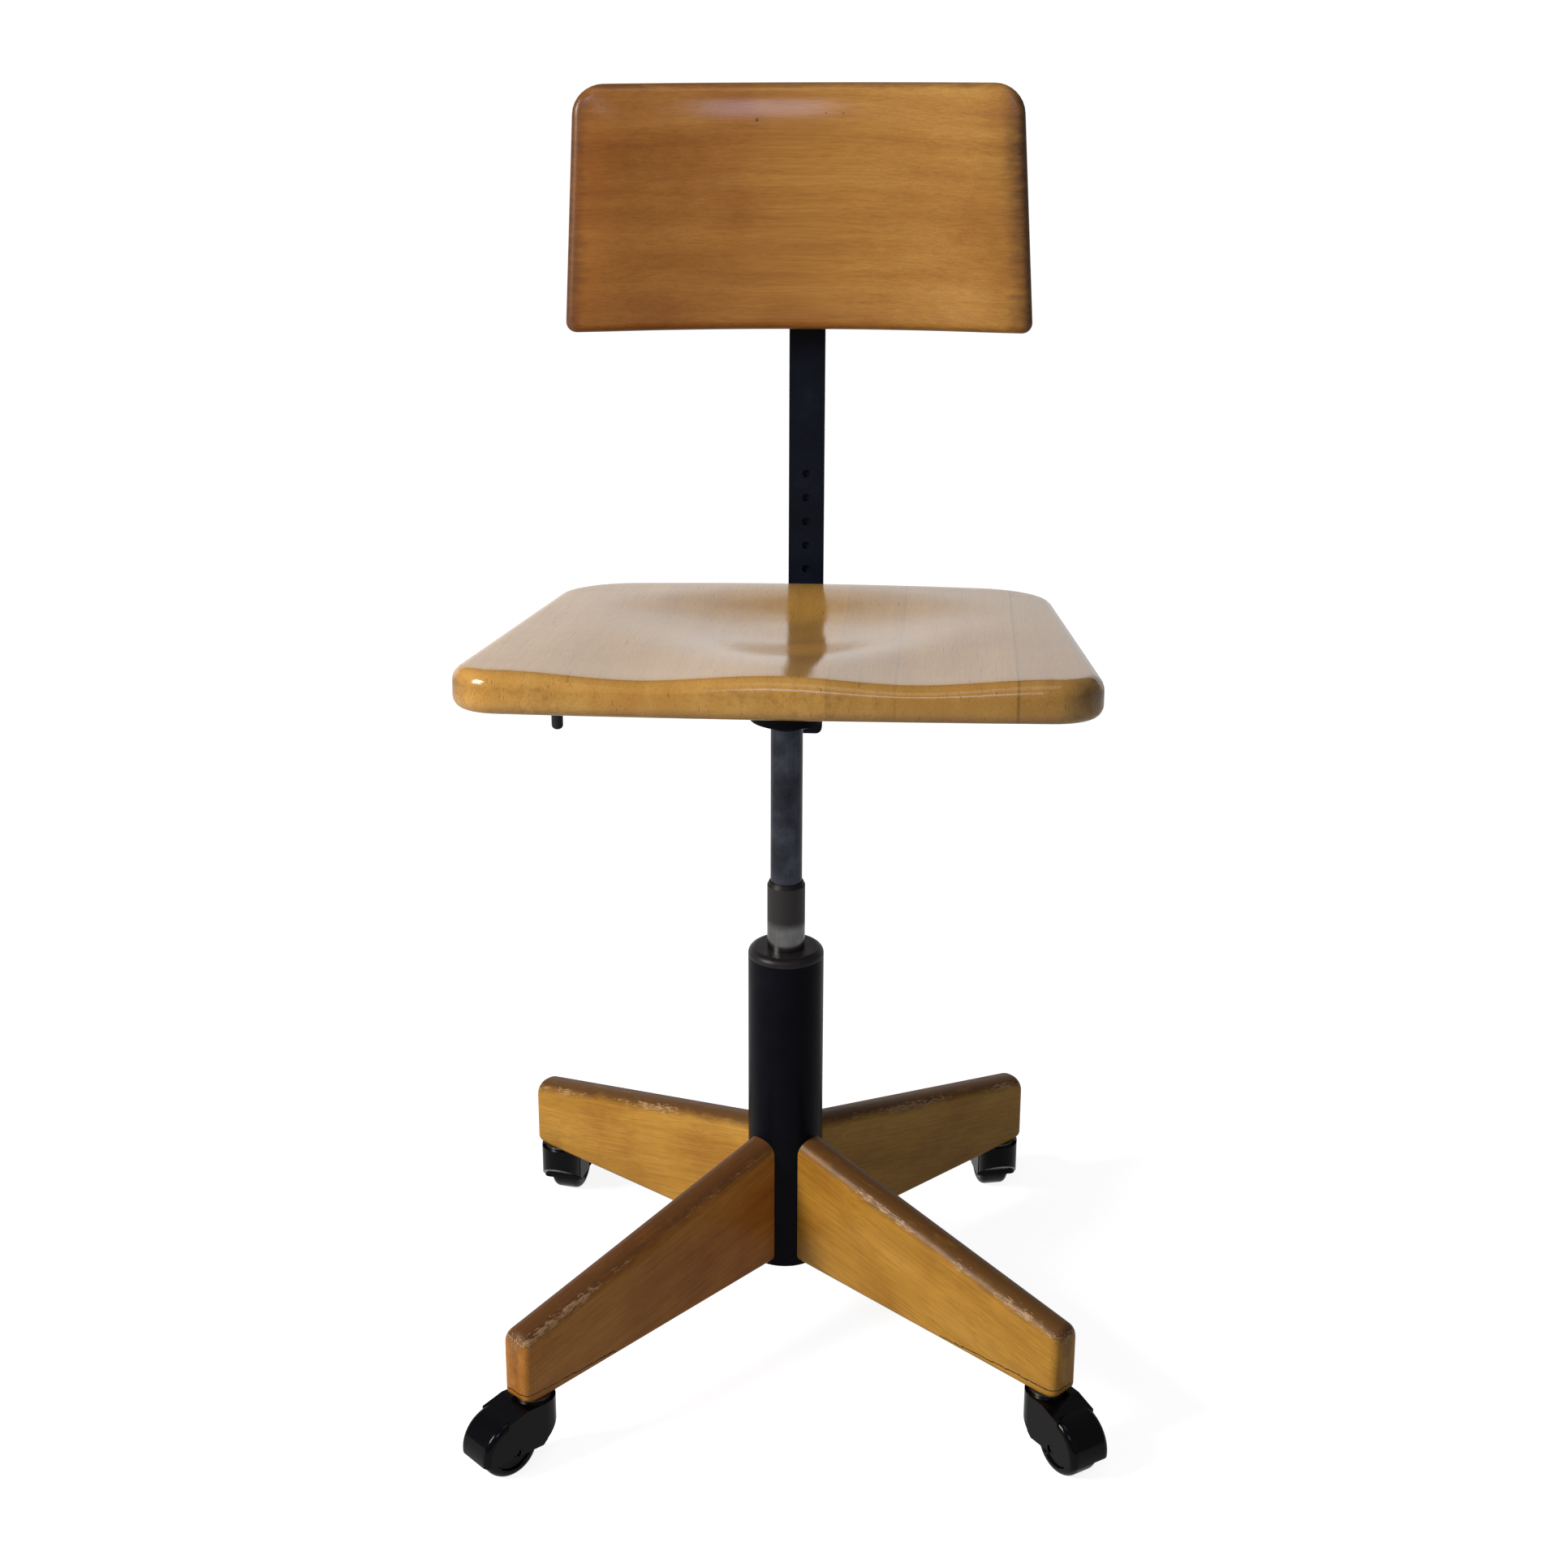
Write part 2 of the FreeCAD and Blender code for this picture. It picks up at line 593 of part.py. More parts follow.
def bolt_corners(height):
    return [
        (HEAD_START, height),
        (HEAD_START, "%s + size.bolt_head / 2" % height),
        ("%s + size.bolt_head_height" % HEAD_START, "%s + size.bolt_head / 2" % height),
        ("%s + size.bolt_head_height" % HEAD_START, "%s + size.bolt_diameter / 2" % height),
        ("%s + size.bolt_grip" % COLUMN_RADIUS, "%s + size.bolt_diameter / 2" % height),
        ("%s + size.bolt_grip" % COLUMN_RADIUS, height),
    ]


def nut_corners(height):
    inner = "%s + size.bolt_diameter / 2 + size.running_fit" % height
    outer = "%s + size.nut_diameter / 2" % height
    return rectangle(NUT_START, inner, "%s + size.nut_length" % NUT_START, outer)


radial_set("leg_bolts", bolt_corners)
radial_set("leg_inserts", nut_corners)

# Sleeves in the legs that take the caster stems
sockets = new_body("caster_sockets")
sockets.AllowCompound = True
sleeve = new_sketch(sockets, "XZ_Plane")
STEM_BORE = "(size.stem_diameter / 2 + size.running_fit)"
FLANGE_LOW = "(size.caster_height + size.touch_gap)"
draw_outline(sleeve, [
    ("%s + %s" % (STEM_ORBIT, STEM_BORE), FLANGE_LOW),
    ("%s + size.flange_diameter / 2" % STEM_ORBIT, FLANGE_LOW),
    ("%s + size.flange_diameter / 2" % STEM_ORBIT, SOCKET_ROOF),
    ("%s + size.socket_diameter / 2" % STEM_ORBIT, SOCKET_ROOF),
    ("%s + size.socket_diameter / 2" % STEM_ORBIT, "%s + size.socket_length" % SOCKET_ROOF),
    ("%s + %s" % (STEM_ORBIT, STEM_BORE), "%s + size.socket_length" % SOCKET_ROOF),
])
draw_axis(sleeve, (STEM_ORBIT, "0"), (STEM_ORBIT, "10"))
polar(sockets, [revolve(sockets, sleeve, "Axis0")], 4)
place(sockets, turn="size.base_turn + 45")
keep(sockets, "caster_sockets")


# Casters, drawn about the axle's middle with the trail along +X
def caster(corner, leg_angle):
    swivel = "size.base_turn + %d + size.turn_%s" % (leg_angle, corner)
    leg_turn = "(size.base_turn + %d)" % leg_angle
    axle_x = "%s * cos(%s) + size.caster_trail * cos(%s)" % (STEM_ORBIT, leg_turn, swivel)
    axle_y = "%s * sin(%s) + size.caster_trail * sin(%s)" % (STEM_ORBIT, leg_turn, swivel)

    def place_caster(thing, part):
        place(thing, across=axle_x, along=axle_y, up=WHEEL_RADIUS, turn=swivel)
        keep(thing, "caster_%s_%s" % (part, corner))

    boss_top = "(size.caster_height - %s)" % WHEEL_RADIUS
    lip = "(size.hood_lip - %s)" % WHEEL_RADIUS
    boss_back = "(-size.caster_trail - size.boss_diameter / 2)"
    side = new_body("hood_side_" + corner)
    dome = new_sketch(side, "XZ_Plane")
    draw_circle(dome, "0", "0", HOOD_RADIUS)
    pad(side, dome, "size.hood_width", symmetric=True)
    radius = amount_of(HOOD_RADIUS)
    round_edges(side, "size.hood_round", lambda edge: is_circle(edge, radius))
    neck = new_sketch(side, "XZ_Plane")
    draw_outline(neck, [
        ("-%s" % WHEEL_RADIUS, lip),
        ("size.axle_diameter", lip),
        ("size.axle_diameter", HOOD_RADIUS + " - size.hood_round / 4"),
        ("-size.caster_trail + size.boss_diameter / 2", boss_top),
        (boss_back, boss_top),
        (boss_back, "%s - size.boss_height" % boss_top),
    ])
    pad(side, neck, "size.hood_width", symmetric=True)
    plan = fuse([
        cylinder("size.boss_diameter / 2", "4 * size.wheel_diameter", "-size.caster_trail", "0",
                 "-2 * size.wheel_diameter"),
        block("size.caster_trail + %s + 1" % HOOD_RADIUS, "size.hood_width + 2",
              "4 * size.wheel_diameter", "-size.caster_trail", "-size.hood_width / 2 - 1",
              "-2 * size.wheel_diameter"),
    ])
    cavity_width = "(size.wheel_width + 2 * size.hood_gap)"
    hood = cut(common(side, plan), [
        cylinder("%s + size.hood_gap" % WHEEL_RADIUS, cavity_width, "0",
                 "-%s / 2" % cavity_width, "0", Y_AXIS),
        block("4 * size.wheel_diameter", "2 * size.hood_width", "4 * size.wheel_diameter",
              "-2 * size.wheel_diameter", "-size.hood_width", "%s - 4 * size.wheel_diameter" % lip),
        cylinder("size.axle_diameter / 2 + size.running_fit", "2 * size.hood_width", "0",
                 "-size.hood_width", "0", Y_AXIS),
        cylinder("size.stem_diameter / 2 + size.running_fit", "size.stem_seat + 5",
                 "-size.caster_trail", "0", "%s - size.stem_seat" % boss_top),
    ])
    place_caster(hood, "hood")

    axle = cylinder("size.axle_diameter / 2", "size.hood_width - 2", "0",
                    "1 - size.hood_width / 2", "0", Y_AXIS)
    place_caster(group([axle]), "axle")

    stem = cylinder("size.stem_diameter / 2", "size.stem_seat + size.stem_length",
                    "-size.caster_trail", "0", "%s - size.stem_seat" % boss_top)
    place_caster(group([stem]), "stem")

    half = "(size.wheel_width / 2)"
    bore = "(size.axle_diameter / 2 + size.running_fit)"
    wheel = new_body("wheel_" + corner)
    rim = new_sketch(wheel, "XY_Plane")
    draw_outline(rim, [
        (bore, "-" + half),
        ("size.axle_diameter + 1", "-" + half),
        ("size.axle_diameter + 2", "1.5 - " + half),
        ("%s - size.wheel_round - 2" % WHEEL_RADIUS, "1.5 - " + half),
        ("%s - size.wheel_round - 1" % WHEEL_RADIUS, "-" + half),
        (WHEEL_RADIUS, "-" + half),
        (WHEEL_RADIUS, half),
        ("%s - size.wheel_round - 1" % WHEEL_RADIUS, half),
        ("%s - size.wheel_round - 2" % WHEEL_RADIUS, half + " - 1.5"),
        ("size.axle_diameter + 2", half + " - 1.5"),
        ("size.axle_diameter + 1", half),
        (bore, half),
    ])
    revolve(wheel, rim)
    tread = amount_of(WHEEL_RADIUS)
    round_edges(wheel, "size.wheel_round", lambda edge: is_circle(edge, tread))
    place_caster(wheel, "wheel")


for corner, angle in LEG_ANGLES.items():
    caster(corner, angle)

# Lift: the tube that slides in the column, with its foot, locking balls and bushes
lift_tube = turned("lift_tube", ring_corners(LIFT_BORE, LIFT_RADIUS, LIFT_LOW, LIFT_TOP))
place(lift_tube)

ROD_RADIUS = "(size.rod_diameter / 2)"
CAVITY_ROOF = "(%s - size.foot_roof)" % FOOT_TOP
foot = turned("lift_foot", [
    ("size.foot_cavity / 2", FOOT_LOW),
    ("%s - size.running_fit * 2" % GUIDE_RADIUS, FOOT_LOW),
    ("%s - size.running_fit * 2" % GUIDE_RADIUS, LIFT_LOW),
    ("%s - size.running_fit" % LIFT_BORE, LIFT_LOW),
    ("%s - size.running_fit" % LIFT_BORE, FOOT_TOP),
    ("%s + size.touch_gap" % ROD_RADIUS, FOOT_TOP),
    ("%s + size.touch_gap" % ROD_RADIUS, CAVITY_ROOF),
    ("size.foot_cavity / 2", CAVITY_ROOF),
])
ball_hole = new_sketch(foot, "YZ_Plane")
draw_circle(ball_hole, "0", BALL_PLACE, "size.ball_diameter / 2 + size.running_fit * 2")
ball_pocket = pocket(foot, ball_hole, "size.guide_bore", reverse=True)
polar(foot, [ball_pocket], 3)
place(foot)

balls = []
for turn in (0, 120, 240):
    ball = document.addObject("Part::Sphere", "ball")
    bind(ball, Radius="size.ball_diameter / 2")
    ball.setExpression("Placement.Base.x", "%s * cos(%d)" % (BALL_ORBIT, turn))
    ball.setExpression("Placement.Base.y", "%s * sin(%d)" % (BALL_ORBIT, turn))
    ball.setExpression("Placement.Base.z", BALL_PLACE)
    balls.append(ball)
locking_balls = keep(group(balls), "locking_balls")
place(locking_balls)

washer = turned("thrust_washer", ring_corners(
    "size.post_bore / 2", "%s - size.running_fit" % LIFT_BORE, FOOT_TOP, WASHER_TOP))
place(washer)

POST_BEARING = "(%s + size.running_fit)" % POST_RADIUS
lower_bush = turned("post_bush_lower", ring_corners(
    POST_BEARING, "%s - size.running_fit" % LIFT_BORE,
    WASHER_TOP, "%s + size.lower_bush_length" % WASHER_TOP))
place(lower_bush)

upper_bush = turned("post_bush_upper", [
    (POST_BEARING, "%s - size.upper_bush_length" % LIFT_TOP),
    ("%s - size.running_fit" % LIFT_BORE, "%s - size.upper_bush_length" % LIFT_TOP),
    ("%s - size.running_fit" % LIFT_BORE, LIFT_TOP),
    (LIFT_RADIUS, LIFT_TOP),
    ("size.collar_top / 2", "%s + size.collar_height" % LIFT_TOP),
    (POST_BEARING, "%s + size.collar_height" % LIFT_TOP),
])
place(upper_bush)

# Seat post and the head under the seat
HUB_TOP = "(%s + size.hub_height)" % HEAD_LOW
post = turned("seat_post", ring_corners("size.post_bore / 2", POST_RADIUS, WASHER_TOP, HUB_TOP))
place(post)

HEAD_RADIUS = "(size.head_diameter / 2)"
HEAD_BORE = "(%s - size.head_wall)" % HEAD_RADIUS
ABOVE_HEAD = "(%s + size.head_diameter)" % HEAD_TOP
head = turned("seat_head", [
    (POST_BEARING, HEAD_LOW),
    ("%s + 1.5" % POST_RADIUS, HEAD_LOW),
    (HEAD_RADIUS, "%s + size.head_cone" % HEAD_LOW),
    (HEAD_RADIUS, ABOVE_HEAD),
    (HEAD_BORE, ABOVE_HEAD),
    (HEAD_BORE, "%s + size.head_cone + size.head_wall" % HEAD_LOW),
    ("size.hub_diameter / 2", "%s + size.head_cone + size.head_wall" % HEAD_LOW),
    ("size.hub_diameter / 2", HUB_TOP),
    (POST_BEARING, HUB_TOP),
])
slope = new_sketch(head, "YZ_Plane")
draw_outline(slope, [
    ("-size.head_diameter", "%s + size.head_diameter * tan(size.seat_tilt)" % HEAD_TOP),
    ("size.head_diameter", "%s - size.head_diameter * tan(size.seat_tilt)" % HEAD_TOP),
    ("size.head_diameter", "%s + 1" % ABOVE_HEAD),
    ("-size.head_diameter", "%s + 1" % ABOVE_HEAD),
])
pocket(head, slope)
window = new_sketch(head, "YZ_Plane")
draw_outline(window, rectangle(
    "-size.blade_thickness", "%s - size.blade_height" % LEVER_PLACE,
    "size.blade_thickness", "%s + size.blade_height" % LEVER_PLACE))
pocket(head, window, "size.head_diameter")
pin_holes = new_sketch(head, "XZ_Plane")
draw_circle(pin_holes, "-size.lever_pivot", LEVER_PLACE, "size.pin_diameter / 2 + size.running_fit")
pocket(head, pin_holes)
place(head)

# Release rod inside the post, with the locking cone on its lower end
CONE_SLOPE = "((size.cone_wide - size.cone_narrow) / 2 / size.cone_length)"
BALL_SIDE = "(size.ball_diameter / 2 + size.running_fit * 2) / cos(atan(%s))" % CONE_SLOPE
CONE_AT_BALL = "(%s - %s)" % (BALL_ORBIT, BALL_SIDE)
CONE_LOW = "(%s - (size.cone_wide / 2 - %s) / %s)" % (BALL_PLACE, CONE_AT_BALL, CONE_SLOPE)
ROD_TOP = "(%s - size.blade_height / 2 - size.touch_gap)" % LEVER_PLACE
rod = turned("release_rod", [
    ("0", CONE_LOW),
    ("size.cone_wide / 2", CONE_LOW),
    ("size.cone_narrow / 2", "%s + size.cone_length" % CONE_LOW),
    (ROD_RADIUS, "%s + size.cone_length" % CONE_LOW),
    (ROD_RADIUS, ROD_TOP),
    ("0", ROD_TOP),
])
place(rod)

# Height lever, drawn about its pivot
GRIP_TOP = "(size.grip_length - size.lever_drop)"
ELBOW = "(-size.lever_reach + size.lever_pivot + size.lever_bend)"
blade_start = "(size.lever_pivot - size.head_diameter / 2 - 4)"
blade = block("size.lever_pivot + size.lever_nose - %s" % blade_start, "size.blade_thickness",
              "size.blade_height", blade_start, "-size.blade_thickness / 2", "-size.blade_height / 2")
arm_rod = cylinder("size.lever_diameter / 2", "%s - %s + 2" % (blade_start, ELBOW), ELBOW, "0", "0", X_AXIS)
elbow = document.addObject("Part::Torus", "elbow")
elbow.Placement = FreeCAD.Placement(Vector(), FreeCAD.Rotation(X_AXIS, 90))
bind(elbow, Radius1="size.lever_bend", Radius2="size.lever_diameter / 2")
elbow.setExpression("Placement.Base.x", ELBOW)
elbow.setExpression("Placement.Base.z", "-size.lever_bend")
corner_block = block("2 * size.lever_bend", "4 * size.lever_diameter", "2 * size.lever_bend",
                     "%s - 2 * size.lever_bend" % ELBOW, "-2 * size.lever_diameter",
                     "-size.lever_bend")
tail = cylinder("size.lever_diameter / 2", "size.lever_drop - size.lever_bend - 4",
                "%s - size.lever_bend" % ELBOW, "0", "4 - size.lever_drop")
eye = cylinder("size.pin_diameter / 2 + size.running_fit", "4 * size.blade_thickness", "0",
               "-2 * size.blade_thickness", "0", Y_AXIS)
lever = keep(cut(fuse([blade, arm_rod, common(elbow, corner_block), tail]), [eye]), "height_lever")
place(lever, across="-size.lever_pivot", up=LEVER_PLACE)

grip = turned("lever_grip", [
    ("0", "-size.lever_drop"),
    ("size.grip_diameter / 2", "-size.lever_drop"),
    ("size.grip_diameter / 2", GRIP_TOP),
    ("size.lever_diameter / 2 + size.running_fit", GRIP_TOP),
    ("size.lever_diameter / 2 + size.running_fit", "4 - size.lever_drop"),
    ("0", "4 - size.lever_drop"),
])
grip_low = amount_of("-size.lever_drop")
round_edges(grip, "size.grip_diameter / 2 - 1", lambda edge: (
    edge.Curve.TypeId == "Part::GeomCircle" and abs(edge.CenterOfMass.z - grip_low) < 0.01))
place(grip, across="-size.lever_reach", up=LEVER_PLACE)

pivot_pin = cylinder("size.pin_diameter / 2", "size.pin_length", "0", "-size.pin_length / 2", "0", Y_AXIS)
pivot_pin = keep(group([pivot_pin]), "lever_pivot_pin")
place(pivot_pin, across="-size.lever_pivot", up=LEVER_PLACE)

# Return spring of the lever, coiled round the pivot pin beside the blade
spring = document.addObject("Part::Helix", "spring_line")
SPRING_RADIUS = "(size.spring_diameter / 2 - size.spring_wire / 2)"
SPRING_PITCH = "(size.spring_wire * 1.5)"
bind(spring, Radius=SPRING_RADIUS, Pitch=SPRING_PITCH, Height="size.spring_turns * %s" % SPRING_PITCH)
wire_section = document.addObject("Part::Circle", "wire_section")
wire_section.Placement = FreeCAD.Placement(Vector(), FreeCAD.Rotation(X_AXIS, 90))
bind(wire_section, Radius="size.spring_wire / 2")
wire_section.setExpression("Placement.Base.x", SPRING_RADIUS)
coil = document.addObject("Part::Sweep", "coil")
coil.Sections = [wire_section]
coil.Spine = (spring, [])
coil.Solid = True
coil.Frenet = True
coil.Placement = FreeCAD.Placement(Vector(), FreeCAD.Rotation(Z_AXIS, Y_AXIS))
coil.setExpression("Placement.Base.y", "size.blade_thickness / 2 + size.spring_wire")
lever_spring = keep(group([coil]), "lever_spring")
place(lever_spring, across="-size.lever_pivot", up=LEVER_PLACE)

# Seat: a saddle board whose upper face is one smooth surface


def smooth(share):
    """Soft step from 0 to 1."""
    share = max(0.0, min(1.0, share))
    return share * share * (3 - 2 * share)


def face_over(width, depth, middle_y, height_at, steps=27):
    """Smooth face over a rectangle, at the height that a function gives."""
    points = []
    for i in range(steps):
        x = width * (i / (steps - 1) - 0.5)
        ys = [middle_y + depth * (j / (steps - 1) - 0.5) for j in range(steps)]
        points.append([Vector(x, y, height_at(x, y)) for y in ys])
    surface = Part.BSplineSurface()
    surface.interpolate(points)
    return surface.toShape()


def rounded_board(corners, bows, radii, height):
    """Upright board over a four-cornered outline, its ends bowed and its corners rounded."""
    low_left, low_right, high_right, high_left = corners
    low_mid = Vector(0, low_left.y - bows[0], 0)
    high_mid = Vector(0, high_left.y + bows[1], 0)
    if bows[0] > 0:
        low_edge = Part.Arc(low_left, low_mid, low_right).toShape()
    else:
        low_edge = Part.LineSegment(low_left, low_right).toShape()
    if bows[1] > 0:
        high_edge = Part.Arc(high_right, high_mid, high_left).toShape()
    else:
        high_edge = Part.LineSegment(high_right, high_left).toShape()
    sides = [low_edge, Part.LineSegment(low_right, high_right).toShape(),
             high_edge, Part.LineSegment(high_left, low_left).toShape()]
    board = Part.Face(Part.Wire(sides)).extrude(Vector(0, 0, height))
    middle = (low_mid.y + high_mid.y) / 2
    for radius, front in zip(radii, (True, False)):
        chosen = [edge for edge in board.Edges
                  if is_along(edge, Z_AXIS) and (edge_middle(edge).y < middle) == front]
        board = board.makeFillet(radius, chosen)
    return board


def seat_shape():
    front = amount_of("size.seat_front")
    back = amount_of("size.seat_back")
    half_front = amount_of("size.seat_front_width / 2")
    half_back = amount_of("size.seat_back_width / 2")
    thickness = amount_of("size.seat_thickness")
    front_bow = amount_of("size.seat_front_bow")
    back_bow = amount_of("size.seat_back_bow")
    corner = amount_of("size.seat_corner")
    bowl_depth = amount_of("size.bowl_depth")
    bowl_half = amount_of("size.bowl_width / 2")
    bowl_front = amount_of("size.bowl_front")
    bowl_back = amount_of("size.bowl_back")
    bowl_place = amount_of("size.bowl_place")
    thigh_depth = amount_of("size.thigh_depth")
    thigh_place = amount_of("size.thigh_place")
    thigh_half = amount_of("size.thigh_width / 2")

    def top_at(x, y):
        run = y - bowl_place
        reach = bowl_back if run > 0 else bowl_front
        bowl = bowl_depth * smooth((1 - math.hypot(x / bowl_half, run / reach)) / 0.8)
        fade = smooth((bowl_place - y) / bowl_front)
        thigh = thigh_depth * smooth(1 - abs(abs(x) - thigh_place) / thigh_half) * fade
        return thickness - max(bowl, thigh) - 0.4 * min(bowl, thigh)

    corners = [Vector(-half_front, front_bow - front, 0), Vector(half_front, front_bow - front, 0),
               Vector(half_back, back - back_bow, 0), Vector(-half_back, back - back_bow, 0)]
    board = rounded_board(corners, (front_bow, back_bow), (corner, corner), 2 * thickness)
    top_face = face_over(2 * half_front + 30, front + back + 30, (back - front) / 2, top_at)
    board = board.cut(top_face.extrude(Vector(0, 0, 3 * thickness)))
    upper = max(board.Faces, key=lambda face: face.CenterOfMass.z)
    board = board.makeFillet(amount_of("size.seat_top_round"), upper.Edges)
    lower = [edge for edge in board.Edges if abs(edge_middle(edge).z) < 0.01]
    board = board.makeFillet(amount_of("size.seat_under_round"), lower)
    radius = amount_of("size.screw_diameter / 2 + size.loose_fit")
    for x, y in screw_spots("size.screw_across", "size.screw_along"):
        hole = Part.makeCylinder(radius, amount_of("size.screw_bite + 1"), Vector(x, y, 0))
        board = board.cut(hole)
    return board


def screw_spots(across, along):
    """Four screws at the corners of a rectangle."""
    half_x = amount_of(across) / 2
    half_y = amount_of(along) / 2
    return [(x, y) for x in (-half_x, half_x) for y in (-half_y, half_y)]


def screw_texts(across, along):
    """The same four places as expressions."""
    return [("%s%s / 2" % (a, across), "%s%s / 2" % (b, along)) for a in "-+" for b in "-+"]


seat = document.addObject("Part::Feature", "seat_panel_shape")
seat.Shape = seat_shape()
place_tilted(seat)
keep(seat, "seat_panel")

plate = new_body("mounting_plate")
sheet_outline = new_sketch(plate, "XY_Plane")
draw_outline(sheet_outline, rectangle(
    "-size.plate_width / 2", "-size.plate_length / 2", "size.plate_width / 2", "size.plate_length / 2"))
pad(plate, sheet_outline, "size.plate_thickness", reverse=True)
round_edges(plate, "size.plate_corner", lambda edge: is_along(edge, Z_AXIS))
plate_holes = new_sketch(plate, "XY_Plane")
for x, y in screw_texts("size.screw_across", "size.screw_along"):
    draw_circle(plate_holes, x, y, "size.screw_diameter / 2 + size.loose_fit")
ARM_BOLTS = ["size.arm_bolt_first", "size.arm_bolt_first + size.arm_bolt_step"]
for y in ARM_BOLTS:
    draw_circle(plate_holes, "0", y, "size.bolt_diameter / 2 + size.loose_fit")
pocket(plate, plate_holes)
place_tilted(plate)
keep(plate, "mounting_plate")


def flat_screws(name, spots, head_radius, head_low, head_height, shank_radius, shank_length):
    """Screws that stand upright in the seat's plane, heads down."""
    body = new_body(name)
    body.AllowCompound = True
    heads = new_sketch(body, "XY_Plane", offset=head_low)
    shanks = new_sketch(body, "XY_Plane", offset=head_low)
    for x, y in spots:
        draw_circle(heads, x, y, head_radius)
        draw_circle(shanks, x, y, shank_radius)
    pad(body, heads, head_height)
    pad(body, shanks, shank_length)
    place_tilted(body)
    return keep(body, name)


flat_screws(
    "seat_screws", screw_texts("size.screw_across", "size.screw_along"), "size.screw_head / 2",
    "-size.plate_thickness - size.screw_head_height", "size.screw_head_height",
    "size.screw_diameter / 2",
    "size.screw_head_height + size.plate_thickness + size.screw_bite")
flat_screws(
    "arm_bolts", [("0", y) for y in ARM_BOLTS], "size.bolt_head / 2",
    "-size.plate_thickness - size.arm_thickness - size.bolt_head_height", "size.bolt_head_height",
    "size.bolt_diameter / 2",
    "size.bolt_head_height + size.arm_thickness + size.plate_thickness - size.touch_gap")

# Arm from the mounting plate back to the guide of the upright bar
GUIDE_FRONT = "(size.bar_place - size.guide_thickness / 2)"
ARM_END = "((%s - size.running_fit) / cos(size.seat_tilt) + size.plate_thickness * tan(size.seat_tilt))" % GUIDE_FRONT
arm = new_body("backrest_arm")
arm_outline = new_sketch(arm, "XY_Plane", offset="-size.plate_thickness")
draw_outline(arm_outline, rectangle("-size.arm_width / 2", "size.arm_start", "size.arm_width / 2", ARM_END))
pad(arm, arm_outline, "size.arm_thickness", reverse=True)
arm_front = amount_of("size.arm_start")
round_edges(arm, "size.bar_corner", lambda edge: (
    is_along(edge, Z_AXIS) and abs(edge_middle(edge).y - arm_front) < 0.01))
arm_holes = new_sketch(arm, "XY_Plane")
for y in ARM_BOLTS:
    draw_circle(arm_holes, "0", y, "size.bolt_diameter / 2 + size.loose_fit")
pocket(arm, arm_holes)
place_tilted(arm)
keep(arm, "backrest_arm")

# Guide, lock pin and upright bar, drawn about the lock pin's place in the bar


def place_at_pin(thing, name):
    place(thing, along="size.bar_place", up=PIN_PLACE)
    return keep(thing, name)


guide = new_body("backrest_guide")
guide_outline = new_sketch(guide, "XY_Plane", offset="-size.guide_below_pin")
draw_outline(guide_outline, rectangle(
    "-size.guide_width / 2", "-size.guide_thickness / 2", "size.guide_width / 2", "size.guide_thickness / 2"))
slot_x = "(size.bar_width / 2 + size.loose_fit)"
slot_y = "(size.bar_thickness / 2 + size.loose_fit)"
draw_outline(guide_outline, rectangle("-" + slot_x, "-" + slot_y, slot_x, slot_y))
pad(guide, guide_outline, "size.guide_below_pin + size.guide_above_pin")
guide_half = amount_of("size.guide_width / 2")
round_edges(guide, "size.bar_corner - 1", lambda edge: (
    is_along(edge, Z_AXIS) and abs(abs(edge_middle(edge).x) - guide_half) < 0.01))
guide_hole = new_sketch(guide, "XZ_Plane")
draw_circle(guide_hole, "0", "0", "size.lock_pin_diameter / 2 + size.loose_fit")
pocket(guide, guide_hole, "size.guide_thickness")
place_at_pin(guide, "backrest_guide")

GUIDE_REAR = "(size.guide_thickness / 2)"
HOUSING_REAR = "(%s + size.housing_length)" % GUIDE_REAR
PIN_BORE = "(size.lock_pin_diameter / 2 + size.loose_fit)"
housing = turned("lock_housing", [
    ("size.housing_bore / 2", GUIDE_REAR),
    ("size.housing_diameter / 2", GUIDE_REAR),
    ("size.housing_diameter / 2", HOUSING_REAR),
    (PIN_BORE, HOUSING_REAR),
    (PIN_BORE, "%s - size.housing_end" % HOUSING_REAR),
    ("size.housing_bore / 2", "%s - size.housing_end" % HOUSING_REAR),
], "XY_Plane")
place_at_pin(housing, "lock_housing")

# At rest the pin is drawn back, so that its tip just clears the bar
TIP = "(size.bar_thickness / 2 + size.lock_clear)"
LOCK_TRAVEL = "(size.lock_clear + size.lock_bite)"
COLLAR_FRONT = "(%s + size.touch_gap + %s)" % (GUIDE_REAR, LOCK_TRAVEL)
COLLAR_REAR = "(%s + size.lock_collar_height)" % COLLAR_FRONT
KNOB_FRONT = "(%s + size.touch_gap + %s)" % (HOUSING_REAR, LOCK_TRAVEL)
LOCK_RADIUS = "(size.lock_pin_diameter / 2)"
lock_pin = turned("lock_pin", [
    ("0", TIP),
    (LOCK_RADIUS, TIP),
    (LOCK_RADIUS, COLLAR_FRONT),
    ("size.lock_collar / 2", COLLAR_FRONT),
    ("size.lock_collar / 2", COLLAR_REAR),
    (LOCK_RADIUS, COLLAR_REAR),
    (LOCK_RADIUS, "%s + size.knob_length / 2" % KNOB_FRONT),
    ("0", "%s + size.knob_length / 2" % KNOB_FRONT),
], "XY_Plane")
place_at_pin(lock_pin, "lock_pin")

